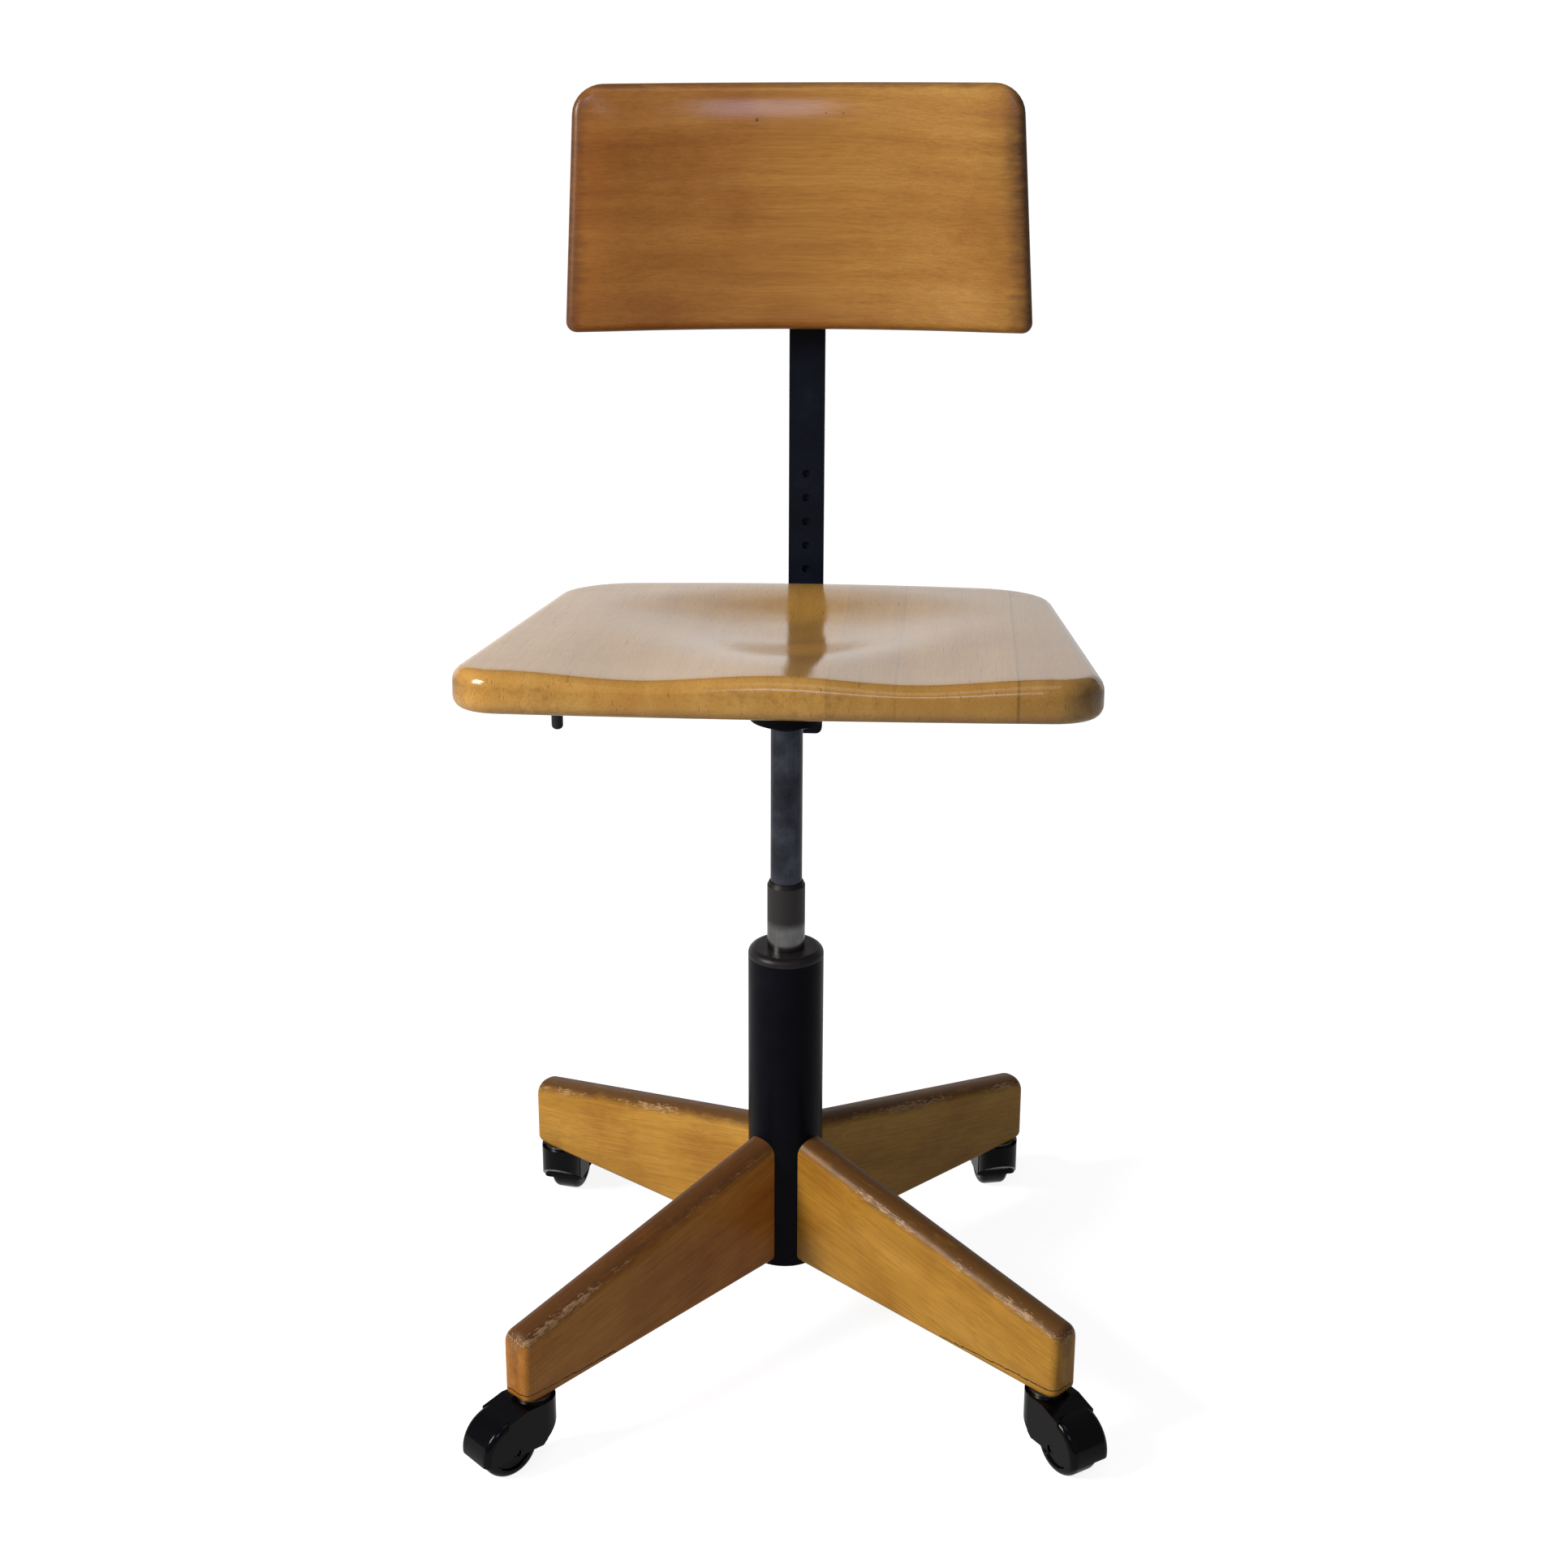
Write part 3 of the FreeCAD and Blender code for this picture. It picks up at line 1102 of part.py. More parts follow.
knob = turned("lock_knob", [
    ("%s + size.running_fit" % LOCK_RADIUS, KNOB_FRONT),
    ("size.knob_diameter / 2 - 3", KNOB_FRONT),
    ("size.knob_diameter / 2", "%s + 3" % KNOB_FRONT),
    ("size.knob_diameter / 2", "%s + size.knob_length" % KNOB_FRONT),
    ("0", "%s + size.knob_length" % KNOB_FRONT),
    ("0", "%s + size.knob_length / 2" % KNOB_FRONT),
    ("%s + size.running_fit" % LOCK_RADIUS, "%s + size.knob_length / 2" % KNOB_FRONT),
], "XY_Plane")
knob_rim = amount_of("size.knob_diameter / 2")
round_edges(knob, "size.knob_round", lambda edge: is_circle(edge, knob_rim))
place_at_pin(knob, "lock_knob")

lock_spring = turned("lock_spring", ring_corners(
    "%s + size.touch_gap" % LOCK_RADIUS, "size.housing_bore / 2 - size.touch_gap",
    COLLAR_REAR, "%s - size.housing_end" % HOUSING_REAR), "XY_Plane")
place_at_pin(lock_spring, "lock_spring")

bar = new_body("upright_bar")
bar_outline = new_sketch(bar, "XZ_Plane")
draw_outline(bar_outline, rectangle(
    "-size.bar_width / 2", "-size.bar_below_pin", "size.bar_width / 2", "size.pivot_rise"))
pad(bar, bar_outline, "size.bar_thickness", symmetric=True)
bar_end = amount_of("-size.bar_below_pin")
round_edges(bar, "size.bar_corner", lambda edge: (
    is_along(edge, Y_AXIS) and abs(edge_middle(edge).z - bar_end) < 0.01))
barrel = new_sketch(bar, "YZ_Plane")
draw_circle(barrel, "0", "size.pivot_rise", "size.barrel_diameter / 2")
pad(bar, barrel, "size.bar_width", symmetric=True)
HOLES_BELOW = 2
HOLES_ABOVE = 6
for face_offset, from_rear in (("size.bar_thickness / 2", False), ("-size.bar_thickness / 2", True)):
    bar_holes = new_sketch(bar, "XZ_Plane", offset=face_offset)
    for step in range(-HOLES_BELOW, HOLES_ABOVE + 1):
        draw_circle(bar_holes, "0", "%d * size.hole_pitch" % step, "size.hole_diameter / 2")
    pocket(bar, bar_holes, "size.hole_depth", reverse=from_rear)
stop_hole = new_sketch(bar, "XZ_Plane")
draw_circle(stop_hole, "0", "-size.stop_drop", "size.stop_diameter / 2 + size.running_fit")
pocket(bar, stop_hole)
barrel_bore = new_sketch(bar, "YZ_Plane")
draw_circle(barrel_bore, "0", "size.pivot_rise", "size.pivot_diameter / 2 + size.running_fit")
pocket(bar, barrel_bore)
place_at_pin(bar, "upright_bar")

STOP_FACE = "(size.bar_thickness / 2 + size.running_fit)"
STOP_END = "(%s + size.stop_head_height)" % STOP_FACE
stop = turned("bar_stop_pin", [
    ("0", "-" + STOP_END),
    ("size.stop_head / 2", "-" + STOP_END),
    ("size.stop_head / 2", "-" + STOP_FACE),
    ("size.stop_diameter / 2", "-" + STOP_FACE),
    ("size.stop_diameter / 2", STOP_FACE),
    ("size.stop_head / 2", STOP_FACE),
    ("size.stop_head / 2", STOP_END),
    ("0", STOP_END),
], "XY_Plane")
place(stop, along="size.bar_place", up="%s - size.stop_drop" % PIN_PLACE)

# Backrest, drawn about its pivot and then leaned back


def place_at_pivot(thing, name):
    place(thing, along="size.bar_place", up=PIVOT_PLACE, turn="-size.back_lean", about=X_AXIS)
    return keep(thing, name)


def backrest_shape():
    low_half = amount_of("size.back_low_width / 2")
    top_half = amount_of("size.back_top_width / 2")
    half_height = amount_of("size.back_height / 2")
    thickness = amount_of("size.back_thickness")
    radius = amount_of("size.back_radius")
    stand_off = amount_of("size.back_stand_off")
    roll = amount_of("size.back_roll")
    border = amount_of("size.back_border")

    # Drawn lying down: x across, y up the backrest, z towards the sitter
    def face_at(x, y):
        half_here = low_half + (top_half - low_half) * (y + half_height) / (2 * half_height)
        inside = smooth((half_here - abs(x)) / border) * smooth((half_height - abs(y)) / border)
        curve = radius - math.sqrt(radius ** 2 - x ** 2)
        return stand_off + thickness + curve - roll * (1 - inside)

    corners = [Vector(-low_half, -half_height, 0), Vector(low_half, -half_height, 0),
               Vector(top_half, half_height, 0), Vector(-top_half, half_height, 0)]
    radii = (amount_of("size.back_low_corner"), amount_of("size.back_top_corner"))
    board = rounded_board(corners, (0, 0), radii, 6 * thickness)
    front_face = face_over(2 * low_half + 20, 2 * half_height + 20, 0, face_at, steps=37)
    board = board.cut(front_face.extrude(Vector(0, 0, 8 * thickness)))
    rear_radius = radius + thickness
    rear = Part.makeCylinder(rear_radius, 4 * half_height,
                             Vector(0, -2 * half_height, stand_off + rear_radius), Y_AXIS)
    board = board.common(rear)
    faces = sorted(board.Faces, key=lambda face: face.Area)[-2:]
    for face in faces:
        centre = face.CenterOfMass
        nearest = min(board.Faces, key=lambda other: (other.CenterOfMass - centre).Length)
        board = board.makeFillet(amount_of("size.back_edge_round"), nearest.Edges)
    hole = amount_of("size.back_screw_diameter / 2 + size.loose_fit")
    depth = amount_of("size.back_screw_bite + 1")
    for x, y in screw_spots("size.back_screw_across", "size.back_screw_along"):
        board = board.cut(Part.makeCylinder(hole, depth + stand_off, Vector(x, y, 0)))
    return board


panel = document.addObject("Part::Feature", "backrest_panel_shape")
panel.Shape = backrest_shape()
place(panel, along="size.bar_place", up=PIVOT_PLACE, turn="90 - size.back_lean", about=X_AXIS)
keep(panel, "backrest_panel")

PLATE_FRONT = "(-size.back_stand_off)"
PLATE_REAR = "(-size.back_stand_off + size.bracket_thickness)"
bracket = new_body("backrest_bracket")
plate_plan = new_sketch(bracket, "XY_Plane")
draw_outline(plate_plan, rectangle("-size.bracket_width / 2", PLATE_FRONT, "size.bracket_width / 2", PLATE_REAR))
pad(bracket, plate_plan, "size.bracket_height", symmetric=True)
round_edges(bracket, "size.bracket_corner", lambda edge: is_along(edge, Y_AXIS))
ear_plan = new_sketch(bracket, "XY_Plane")
draw_outline(ear_plan, rectangle(EAR_INSIDE, PLATE_REAR + " - 1", EAR_OUTSIDE, "size.ear_reach"))
draw_outline(ear_plan, rectangle("-" + EAR_OUTSIDE, PLATE_REAR + " - 1", "-" + EAR_INSIDE, "size.ear_reach"))
pad(bracket, ear_plan, "size.ear_height", symmetric=True)
ear_end = amount_of("size.ear_reach")
round_edges(bracket, "size.ear_round", lambda edge: (
    is_along(edge, X_AXIS) and abs(edge_middle(edge).y - ear_end) < 0.01))
pivot_hole = new_sketch(bracket, "YZ_Plane")
draw_circle(pivot_hole, "0", "0", "size.pivot_diameter / 2 + size.running_fit")
pocket(bracket, pivot_hole)
bracket_holes = new_sketch(bracket, "XZ_Plane")
for x, z in screw_texts("size.back_screw_across", "size.back_screw_along"):
    draw_circle(bracket_holes, x, z, "size.back_screw_diameter / 2 + size.loose_fit")
pocket(bracket, bracket_holes)
place_at_pivot(bracket, "backrest_bracket")

back_screws = new_body("backrest_screws")
back_screws.AllowCompound = True
HEAD_FACE = "(size.back_stand_off - size.bracket_thickness)"
for radius, length in (
        ("size.back_screw_head / 2", "size.back_screw_head_height"),
        ("size.back_screw_diameter / 2",
         "size.back_screw_head_height + size.bracket_thickness + size.back_screw_bite")):
    level = new_sketch(back_screws, "XZ_Plane", offset="%s - size.back_screw_head_height" % HEAD_FACE)
    for x, z in screw_texts("size.back_screw_across", "size.back_screw_along"):
        draw_circle(level, x, z, radius)
    pad(back_screws, level, length)
place_at_pivot(back_screws, "backrest_screws")

pivot_bolt = fuse([
    cylinder("size.pivot_head / 2", "size.pivot_head_height",
             "-%s - size.pivot_head_height" % EAR_OUTSIDE, "0", "0", X_AXIS),
    cylinder("size.pivot_diameter / 2", "2 * %s + size.pivot_end" % EAR_OUTSIDE,
             "-" + EAR_OUTSIDE, "0", "0", X_AXIS),
])
place_at_pivot(pivot_bolt, "pivot_bolt")

cap_nut = cut(
    cylinder("size.pivot_nut / 2", "size.pivot_nut_height", EAR_OUTSIDE, "0", "0", X_AXIS),
    [cylinder("size.pivot_diameter / 2 + size.running_fit", "size.pivot_end + size.touch_gap",
              EAR_OUTSIDE, "0", "0", X_AXIS)])
place_at_pivot(cap_nut, "pivot_cap_nut")

washers = []
for start in ("(size.bar_width / 2 + size.running_fit)",
              "(-size.bar_width / 2 - size.running_fit - size.friction_washer)"):
    disc = cylinder("size.friction_diameter / 2", "size.friction_washer", start, "0", "0", X_AXIS)
    bore = cylinder("size.pivot_diameter / 2 + size.running_fit", "size.friction_washer + 2",
                    start + " - 1", "0", "0", X_AXIS)
    washers.append(cut(disc, [bore]))
place_at_pivot(group(washers), "friction_washers")

# Check every object and piece, then write one file per node
document.recompute()
broken = [item.Name for item in document.Objects if "Invalid" in item.State or "Error" in item.State]
if broken:
    raise RuntimeError("failed objects: %s" % broken)
for name, thing in nodes.items():
    if thing.Shape.isNull() or not thing.Shape.isValid():
        raise RuntimeError("bad shape: " + name)

os.makedirs("parts", exist_ok=True)
whole = Part.makeCompound([thing.Shape for thing in nodes.values()])
box = whole.optimalBoundingBox(False)
print("%d nodes, box %.1f..%.1f, %.1f..%.1f, %.1f..%.1f" % (
    len(nodes), box.XMin, box.XMax, box.YMin, box.YMax, box.ZMin, box.ZMax))
for name, thing in nodes.items():
    thing.Shape.exportStep("parts/%s.step" % name)
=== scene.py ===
import math

import bmesh
import bpy
from mathutils import Matrix, Vector


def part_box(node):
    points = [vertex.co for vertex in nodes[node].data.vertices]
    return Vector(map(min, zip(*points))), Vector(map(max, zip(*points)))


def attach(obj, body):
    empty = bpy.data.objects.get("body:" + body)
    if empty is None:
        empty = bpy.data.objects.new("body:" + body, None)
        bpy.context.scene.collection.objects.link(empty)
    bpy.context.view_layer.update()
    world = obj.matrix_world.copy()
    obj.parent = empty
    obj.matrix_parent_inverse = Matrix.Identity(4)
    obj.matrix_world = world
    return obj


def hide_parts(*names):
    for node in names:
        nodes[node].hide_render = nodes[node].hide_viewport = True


# Swivel chair: beech seat, backrest and cross base, black steel column, hooded casters
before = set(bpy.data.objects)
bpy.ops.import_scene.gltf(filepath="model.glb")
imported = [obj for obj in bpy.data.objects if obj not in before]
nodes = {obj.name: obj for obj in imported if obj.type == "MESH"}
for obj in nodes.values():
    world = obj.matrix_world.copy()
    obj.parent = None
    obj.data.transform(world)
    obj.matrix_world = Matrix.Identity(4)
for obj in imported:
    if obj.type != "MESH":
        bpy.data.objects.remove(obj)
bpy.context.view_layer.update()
tubeLow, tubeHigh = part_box("column_tube")
axisX = (tubeLow.x + tubeHigh.x) / 2
axisY = (tubeLow.y + tubeHigh.y) / 2
corners = {"rear_right": 45, "rear_left": 135, "front_left": 225, "front_right": 315}
baseTurn = 5
print("frame loaded,", len(nodes), "nodes")


# Helpers for modelling

def deselectAll():
    if bpy.context.object is not None and bpy.context.object.mode != "OBJECT":
        bpy.ops.object.mode_set(mode="OBJECT")
    bpy.ops.object.select_all(action="DESELECT")


def choose(piece):
    deselectAll()
    piece.select_set(True)
    bpy.context.view_layer.objects.active = piece


def named(name):
    piece = bpy.context.object
    piece.name = name
    piece.data.name = name
    return piece


def addBox(name, low, high):
    deselectAll()
    low, high = Vector(low), Vector(high)
    bpy.ops.mesh.primitive_cube_add(size=1, location=(low + high) / 2, scale=high - low)
    bpy.ops.object.transform_apply(location=True, rotation=True, scale=True)
    return named(name)


def edit(piece):
    choose(piece)
    bpy.ops.object.mode_set(mode="EDIT")


def pick(piece, kind, test):
    bpy.ops.mesh.select_mode(type=kind)
    mesh = bmesh.from_edit_mesh(piece.data)
    groups = {"VERT": mesh.verts, "EDGE": mesh.edges, "FACE": mesh.faces}
    for group in groups.values():
        for item in group:
            item.select = False
    for item in groups[kind]:
        if not item.hide and test(item):
            item.select_set(True)
    mesh.select_flush_mode()
    bmesh.update_edit_mesh(piece.data)


def middle(edge):
    return (edge.verts[0].co + edge.verts[1].co) / 2


def runs(edge, axis, least=0.999):
    way = edge.verts[1].co - edge.verts[0].co
    return abs(way.normalized()[axis]) > least


def cutAcross(piece, axis, places):
    for spot in places:
        pick(piece, "FACE", lambda face: True)
        point, normal = [0, 0, 0], [0, 0, 0]
        point[axis], normal[axis] = spot, 1
        bpy.ops.mesh.bisect(plane_co=point, plane_no=normal)


def settle(piece, place):
    choose(piece)
    piece.matrix_world = place
    bpy.ops.object.transform_apply(location=True, rotation=True, scale=True)


def turn(degrees, axis):
    return Matrix.Rotation(math.radians(degrees), 4, axis)


def moveVerts(piece, rule):
    for vertex in piece.data.vertices:
        vertex.co = rule(vertex.co.copy())
    piece.data.update()


def paint(piece, name, rule):
    layer = piece.data.attributes.new(name, "FLOAT", "POINT")
    values = [rule(vertex) for vertex in piece.data.vertices]
    layer.data.foreach_set("value", values)


def smooth(piece, degrees):
    choose(piece)
    bpy.ops.object.shade_smooth_by_angle(angle=math.radians(degrees))


def soft(share):
    share = max(0.0, min(1.0, share))
    return share * share * (3 - 2 * share)


def rolled(share):
    share = max(0.0, min(1.0, share))
    return 1 - (1 - share) ** 2


def steps(low, high, count):
    return [low + (high - low) * i / (count + 1) for i in range(1, count + 1)]


# Helpers for materials

def tone(code):
    parts = [int(code[i:i + 2], 16) / 255 for i in (1, 3, 5)]
    linear = [p / 12.92 if p <= 0.04045 else ((p + 0.055) / 1.055) ** 2.4 for p in parts]
    return (*linear, 1.0)


def addNode(tree, kind, settings=None, links=None):
    node = tree.nodes.new("ShaderNode" + kind)
    for key, value in (settings or {}).items():
        if key == "stops":
            ramp = node.color_ramp.elements
            while len(ramp) < len(value):
                ramp.new(0.5)
            for element, (spot, colour) in zip(ramp, value):
                element.position = spot
                element.color = colour
        elif key == "interpolation":
            node.color_ramp.interpolation = value
        elif isinstance(key, int) or key in node.inputs:
            node.inputs[key].default_value = value
        else:
            setattr(node, key, value)
    for key, socket in (links or {}).items():
        tree.links.new(socket, node.inputs[key])
    return node


def bareMaterial(name):
    material = bpy.data.materials.new(name)
    material.use_nodes = True
    material.node_tree.nodes.clear()
    return material, material.node_tree


def newMaterial(name, settings):
    material, tree = bareMaterial(name)
    shader = addNode(tree, "BsdfPrincipled", settings)
    addNode(tree, "OutputMaterial", {}, {"Surface": shader.outputs[0]})
    return material, tree, shader


def grey(value):
    return (value, value, value, 1)


def dress(material, *names):
    for name in names:
        for spot in nodes[name].material_slots:
            spot.material = material


# Old beech under clear varnish: even golden ground with fine dark fibre and a slow drift of tone,
# dark handled edges, and in them the pale broken scratches that shoes have left
def beechMaterial(name, look):
    material, tree, shader = newMaterial(name, {
        "Roughness": 0.5, "IOR": 1.5, "Specular IOR Level": 0.08,
        "Coat Weight": look["coat"], "Coat Roughness": look["gloss"], "Coat IOR": 1.5})
    place = addNode(tree, "TexCoord").outputs["Object"]
    local = addNode(tree, "Mapping", {
        "vector_type": "TEXTURE", "Location": look["origin"], "Rotation": look["turn"]},
        {"Vector": place}).outputs[0]
    # the fibre wanders a few millimetres sideways over about 150 mm
    wander = addNode(tree, "TexNoise", {"Scale": 1 / 0.15, "Detail": 2.0}, {"Vector": local})
    bent = addNode(tree, "VectorMath", {"operation": "MULTIPLY_ADD", 1: (0, 0.012, 0.004)},
                   {0: wander.outputs["Color"], 2: local}).outputs[0]
    across = addNode(tree, "SeparateXYZ", {}, {0: local})
    # fibre lines 1.2 mm wide
    fibreSize = addNode(tree, "Mapping", {"Scale": (14, 850, 600)}, {"Vector": bent})
    fibre = addNode(tree, "TexNoise", {"Scale": 1.0, "Detail": 4.0, "Roughness": 0.65},
                    {"Vector": fibreSize.outputs[0]}).outputs[0]
    # stains and handling, 80 mm across
    stain = addNode(tree, "TexNoise", {"Scale": 1 / 0.08, "Detail": 4.0, "Roughness": 0.6},
                    {"Vector": local}).outputs[0]
    # finer breaks, 5 mm across and 15 mm along the grain
    fleckSize = addNode(tree, "Mapping", {"Scale": (66, 200, 200)}, {"Vector": local})
    fleck = addNode(tree, "TexNoise", {"Scale": 1.0, "Detail": 5.0, "Roughness": 0.7},
                    {"Vector": fleckSize.outputs[0]})

    colour = growthColour(tree, look, bent)
    if "drift" in look:
        colour = driftAlong(tree, look, colour, across)
    if "staveShadesAndFalloff" in look:
        colour = glueStavesAndShade(tree, look, colour, across)
    colour = drawFibre(tree, look, colour, bent, fibre)
    stainShade = addNode(tree, "ValToRGB", {"stops": [(0.3, tone(look["stain"])), (0.55, grey(1.0))]},
                         {"Fac": stain})
    colour = addNode(tree, "MixRGB", {"blend_type": "MULTIPLY", "Fac": look["stained"]},
                     {"Color1": colour, "Color2": stainShade.outputs[0]}).outputs[0]
    edge = handledEdge(tree, look, stain, fleck.outputs[0])
    colour = addNode(tree, "MixRGB", {"Color2": tone(look["edge"])},
                     {"Fac": edge, "Color1": colour}).outputs[0]
    if "scuff" in look:
        colour = scuffRidge(tree, look, colour, bent, stain)
    if "scratched" in look:
        colour = scratchTop(tree, look, colour, local)
    if "crack" in look:
        colour = crackEnd(tree, look, colour, place, across, fleck.outputs["Color"])
    if "pits" in look:
        colour = pitFace(tree, look, colour, place)
    tree.links.new(colour, shader.inputs["Base Color"])

    relief = addNode(tree, "Bump", {"Strength": 0.15, "Distance": 0.0002}, {"Height": fibre})
    # brushed varnish lies in soft waves 12 mm apart
    wave = addNode(tree, "TexNoise", {"Scale": 1 / 0.012, "Detail": 1.0}, {"Vector": place})
    film = addNode(tree, "Bump", {"Strength": 0.12, "Distance": 0.0004},
                   {"Height": wave.outputs[0], "Normal": relief.outputs[0]})
    tree.links.new(relief.outputs[0], shader.inputs["Normal"])
    tree.links.new(film.outputs[0], shader.inputs["Coat Normal"])
    # handled edges have lost their gloss
    gloss = addNode(tree, "MapRange", {"To Min": look["gloss"], "To Max": 0.4}, {"Value": edge})
    tree.links.new(gloss.outputs[0], shader.inputs["Coat Roughness"])
    return material


def growthColour(tree, look, bent):
    # bands of growth, 12 mm wide and 300 mm long; a wide spread of the tones blends them
    bandSize = addNode(tree, "Mapping", {"Scale": (3.3, 80, 40)}, {"Vector": bent})
    band = addNode(tree, "TexNoise", {"Scale": 1.0, "Detail": 3.0, "Roughness": 0.5},
                   {"Vector": bandSize.outputs[0]})
    spread = look.get("soft", 0.2)
    return addNode(tree, "ValToRGB", {"stops": [
        (0.5 - spread, tone(look["dark"])), (0.5, tone(look["mid"])), (0.5 + spread, tone(look["light"]))]},
        {"Fac": band.outputs[0]}).outputs[0]


def driftAlong(tree, look, colour, across):
    # one end of the board is a little darker and redder
    low, high, tint = look["drift"]
    share = addNode(tree, "MapRange", {
        "From Min": low, "From Max": high, "interpolation_type": "SMOOTHSTEP"}, {"Value": across.outputs[0]})
    tinted = addNode(tree, "MixRGB", {"Color1": tone(tint), "Color2": grey(1.0)}, {"Fac": share.outputs[0]})
    return addNode(tree, "MixRGB", {"blend_type": "MULTIPLY", "Fac": 1.0},
                   {"Color1": colour, "Color2": tinted.outputs[0]}).outputs[0]


def glueStavesAndShade(tree, look, colour, across):
    # staves side by side over 0.5 m, each with its own shade and a glue line 0.6 mm wide before it; the
    # shades are partly the staves' own tone and partly painted shade, darker towards the side away from the
    # lamp
    sideways = addNode(tree, "MapRange", {"From Min": -0.25, "From Max": 0.25}, {"Value": across.outputs[1]})
    stops = []
    for spot, line, shade in look["staveShadesAndFalloff"]:
        stops += [(spot / 0.5 + 0.5, grey(line)), ((spot + 0.0006) / 0.5 + 0.5, grey(shade))]
    stave = addNode(tree, "ValToRGB", {"interpolation": "CONSTANT", "stops": stops},
                    {"Fac": sideways.outputs[0]})
    return addNode(tree, "MixRGB", {"blend_type": "MULTIPLY", "Fac": 1.0},
                   {"Color1": colour, "Color2": stave.outputs[0]}).outputs[0]


def drawFibre(tree, look, colour, bent, fibre):
    # hairlines of 0.4 mm between the fibre lines, for a near look
    hairSize = addNode(tree, "Mapping", {"Scale": (60, 2500, 2000)}, {"Vector": bent})
    hair = addNode(tree, "TexNoise", {"Scale": 1.0, "Detail": 2.0}, {"Vector": hairSize.outputs[0]})
    for noise, depth in ((fibre, look["fibre"]), (hair.outputs[0], 0.86)):
        shade = addNode(tree, "ValToRGB", {"stops": [(0.36, grey(depth)), (0.58, grey(1.0))]}, {"Fac": noise})
        colour = addNode(tree, "MixRGB", {"blend_type": "MULTIPLY", "Fac": 1.0},
                         {"Color1": colour, "Color2": shade.outputs[0]}).outputs[0]
    return colour


def handledEdge(tree, look, stain, fleck):
    # the painted wear, broken up by the stains and the finer breaks
    worn = addNode(tree, "Attribute", {"attribute_name": "worn"})
    broken = addNode(tree, "Math", {"operation": "MULTIPLY_ADD", 1: 0.8, 2: -0.4}, {0: stain})
    edge = addNode(tree, "Math", {"operation": "ADD"}, {0: worn.outputs["Fac"], 1: broken.outputs[0]})
    fine = addNode(tree, "Math", {"operation": "SUBTRACT", 1: 0.5}, {0: fleck})
    edge = addNode(tree, "Math", {"operation": "ADD"}, {0: edge.outputs[0], 1: fine.outputs[0]})
    return addNode(tree, "MapRange", {"From Min": 0.2, "From Max": 0.95, "To Max": look.get("handled", 0.9)},
                   {"Value": edge.outputs[0]}).outputs[0]


def scuffRidge(tree, look, colour, bent, stain):
    # scratches 1.4 mm wide and 6 mm long, thickest along the ridge where the side turns into the top
    scuffSize = addNode(tree, "Mapping", {"Scale": (180, 700, 900)}, {"Vector": bent})
    scuff = addNode(tree, "TexNoise", {"Scale": 1.0, "Detail": 5.0, "Roughness": 0.7},
                    {"Vector": scuffSize.outputs[0]})
    ridge = addNode(tree, "Attribute", {"attribute_name": "ridge"})
    # the knocks come in patches
    patchy = addNode(tree, "MapRange", {"From Min": 0.4, "From Max": 0.6, "To Min": 0.45, "To Max": 1.15},
                     {"Value": stain})
    knocked = addNode(tree, "Math", {"operation": "MULTIPLY"},
                      {0: ridge.outputs["Fac"], 1: patchy.outputs[0]})
    limit = addNode(tree, "MapRange", {"To Min": 0.8, "To Max": 0.48, "clamp": False},
                    {"Value": knocked.outputs[0]})
    over = addNode(tree, "Math", {"operation": "SUBTRACT"}, {0: scuff.outputs[0], 1: limit.outputs[0]})
    pale = addNode(tree, "MapRange", {"From Max": 0.05, "To Max": 0.8}, {"Value": over.outputs[0]})
    return addNode(tree, "MixRGB", {"Color2": tone(look["scuff"])},
                   {"Fac": pale.outputs[0], "Color1": colour}).outputs[0]


def scratchTop(tree, look, colour, local):
    # old fine scratches in two directions, about half a millimetre wide and up to 30 mm long
    for angle, limit in look["scratched"]:
        lineSize = addNode(tree, "Mapping", {
            "Scale": (30, 900, 200), "Rotation": (0, 0, math.radians(angle))}, {"Vector": local})
        line = addNode(tree, "TexNoise", {"Scale": 1.0, "Detail": 1.0}, {"Vector": lineSize.outputs[0]})
        scratch = addNode(tree, "MapRange", {"From Min": limit, "From Max": limit + 0.025, "To Max": 0.65},
                          {"Value": line.outputs[0]})
        colour = addNode(tree, "MixRGB", {"Color2": tone("#6A4726")},
                         {"Fac": scratch.outputs[0], "Color1": colour}).outputs[0]
    return colour


def crackEnd(tree, look, colour, place, across, fleck):
    # a drying crack runs 25 mm in from the leg's end
    height, start = look["crack"]
    ragged = addNode(tree, "VectorMath", {"operation": "MULTIPLY_ADD", 1: (0, 0, 0.004)},
                     {0: fleck, 2: place})
    level = addNode(tree, "SeparateXYZ", {}, {0: ragged.outputs[0]})
    near = addNode(tree, "Math", {"operation": "COMPARE", 1: height, 2: 0.0004}, {0: level.outputs[2]})
    outside = addNode(tree, "Math", {"operation": "GREATER_THAN", 1: start}, {0: across.outputs[0]})
    crack = addNode(tree, "Math", {"operation": "MULTIPLY"}, {0: near.outputs[0], 1: outside.outputs[0]})
    return addNode(tree, "MixRGB", {"Color2": tone("#2E1A0C")},
                   {"Fac": crack.outputs[0], "Color1": colour}).outputs[0]


def pitFace(tree, look, colour, place):
    # small knocks in the face: measured nearly flat against the board, so that its curve doesn't matter
    flatness = 0.15
    flat = addNode(tree, "Mapping", {"Scale": (1, flatness, 1)}, {"Vector": place})
    for spot, radius in look["pits"]:
        away = addNode(tree, "VectorMath", {"operation": "DISTANCE", 1: (spot.x, spot.y * flatness, spot.z)},
                       {0: flat.outputs[0]})
        pit = addNode(tree, "MapRange", {"From Min": radius, "From Max": radius * 0.5, "To Max": 0.8},
                      {"Value": away.outputs["Value"]})
        colour = addNode(tree, "MixRGB", {"Color2": tone("#3A2413")},
                         {"Fac": pit.outputs[0], "Color1": colour}).outputs[0]
    return colour


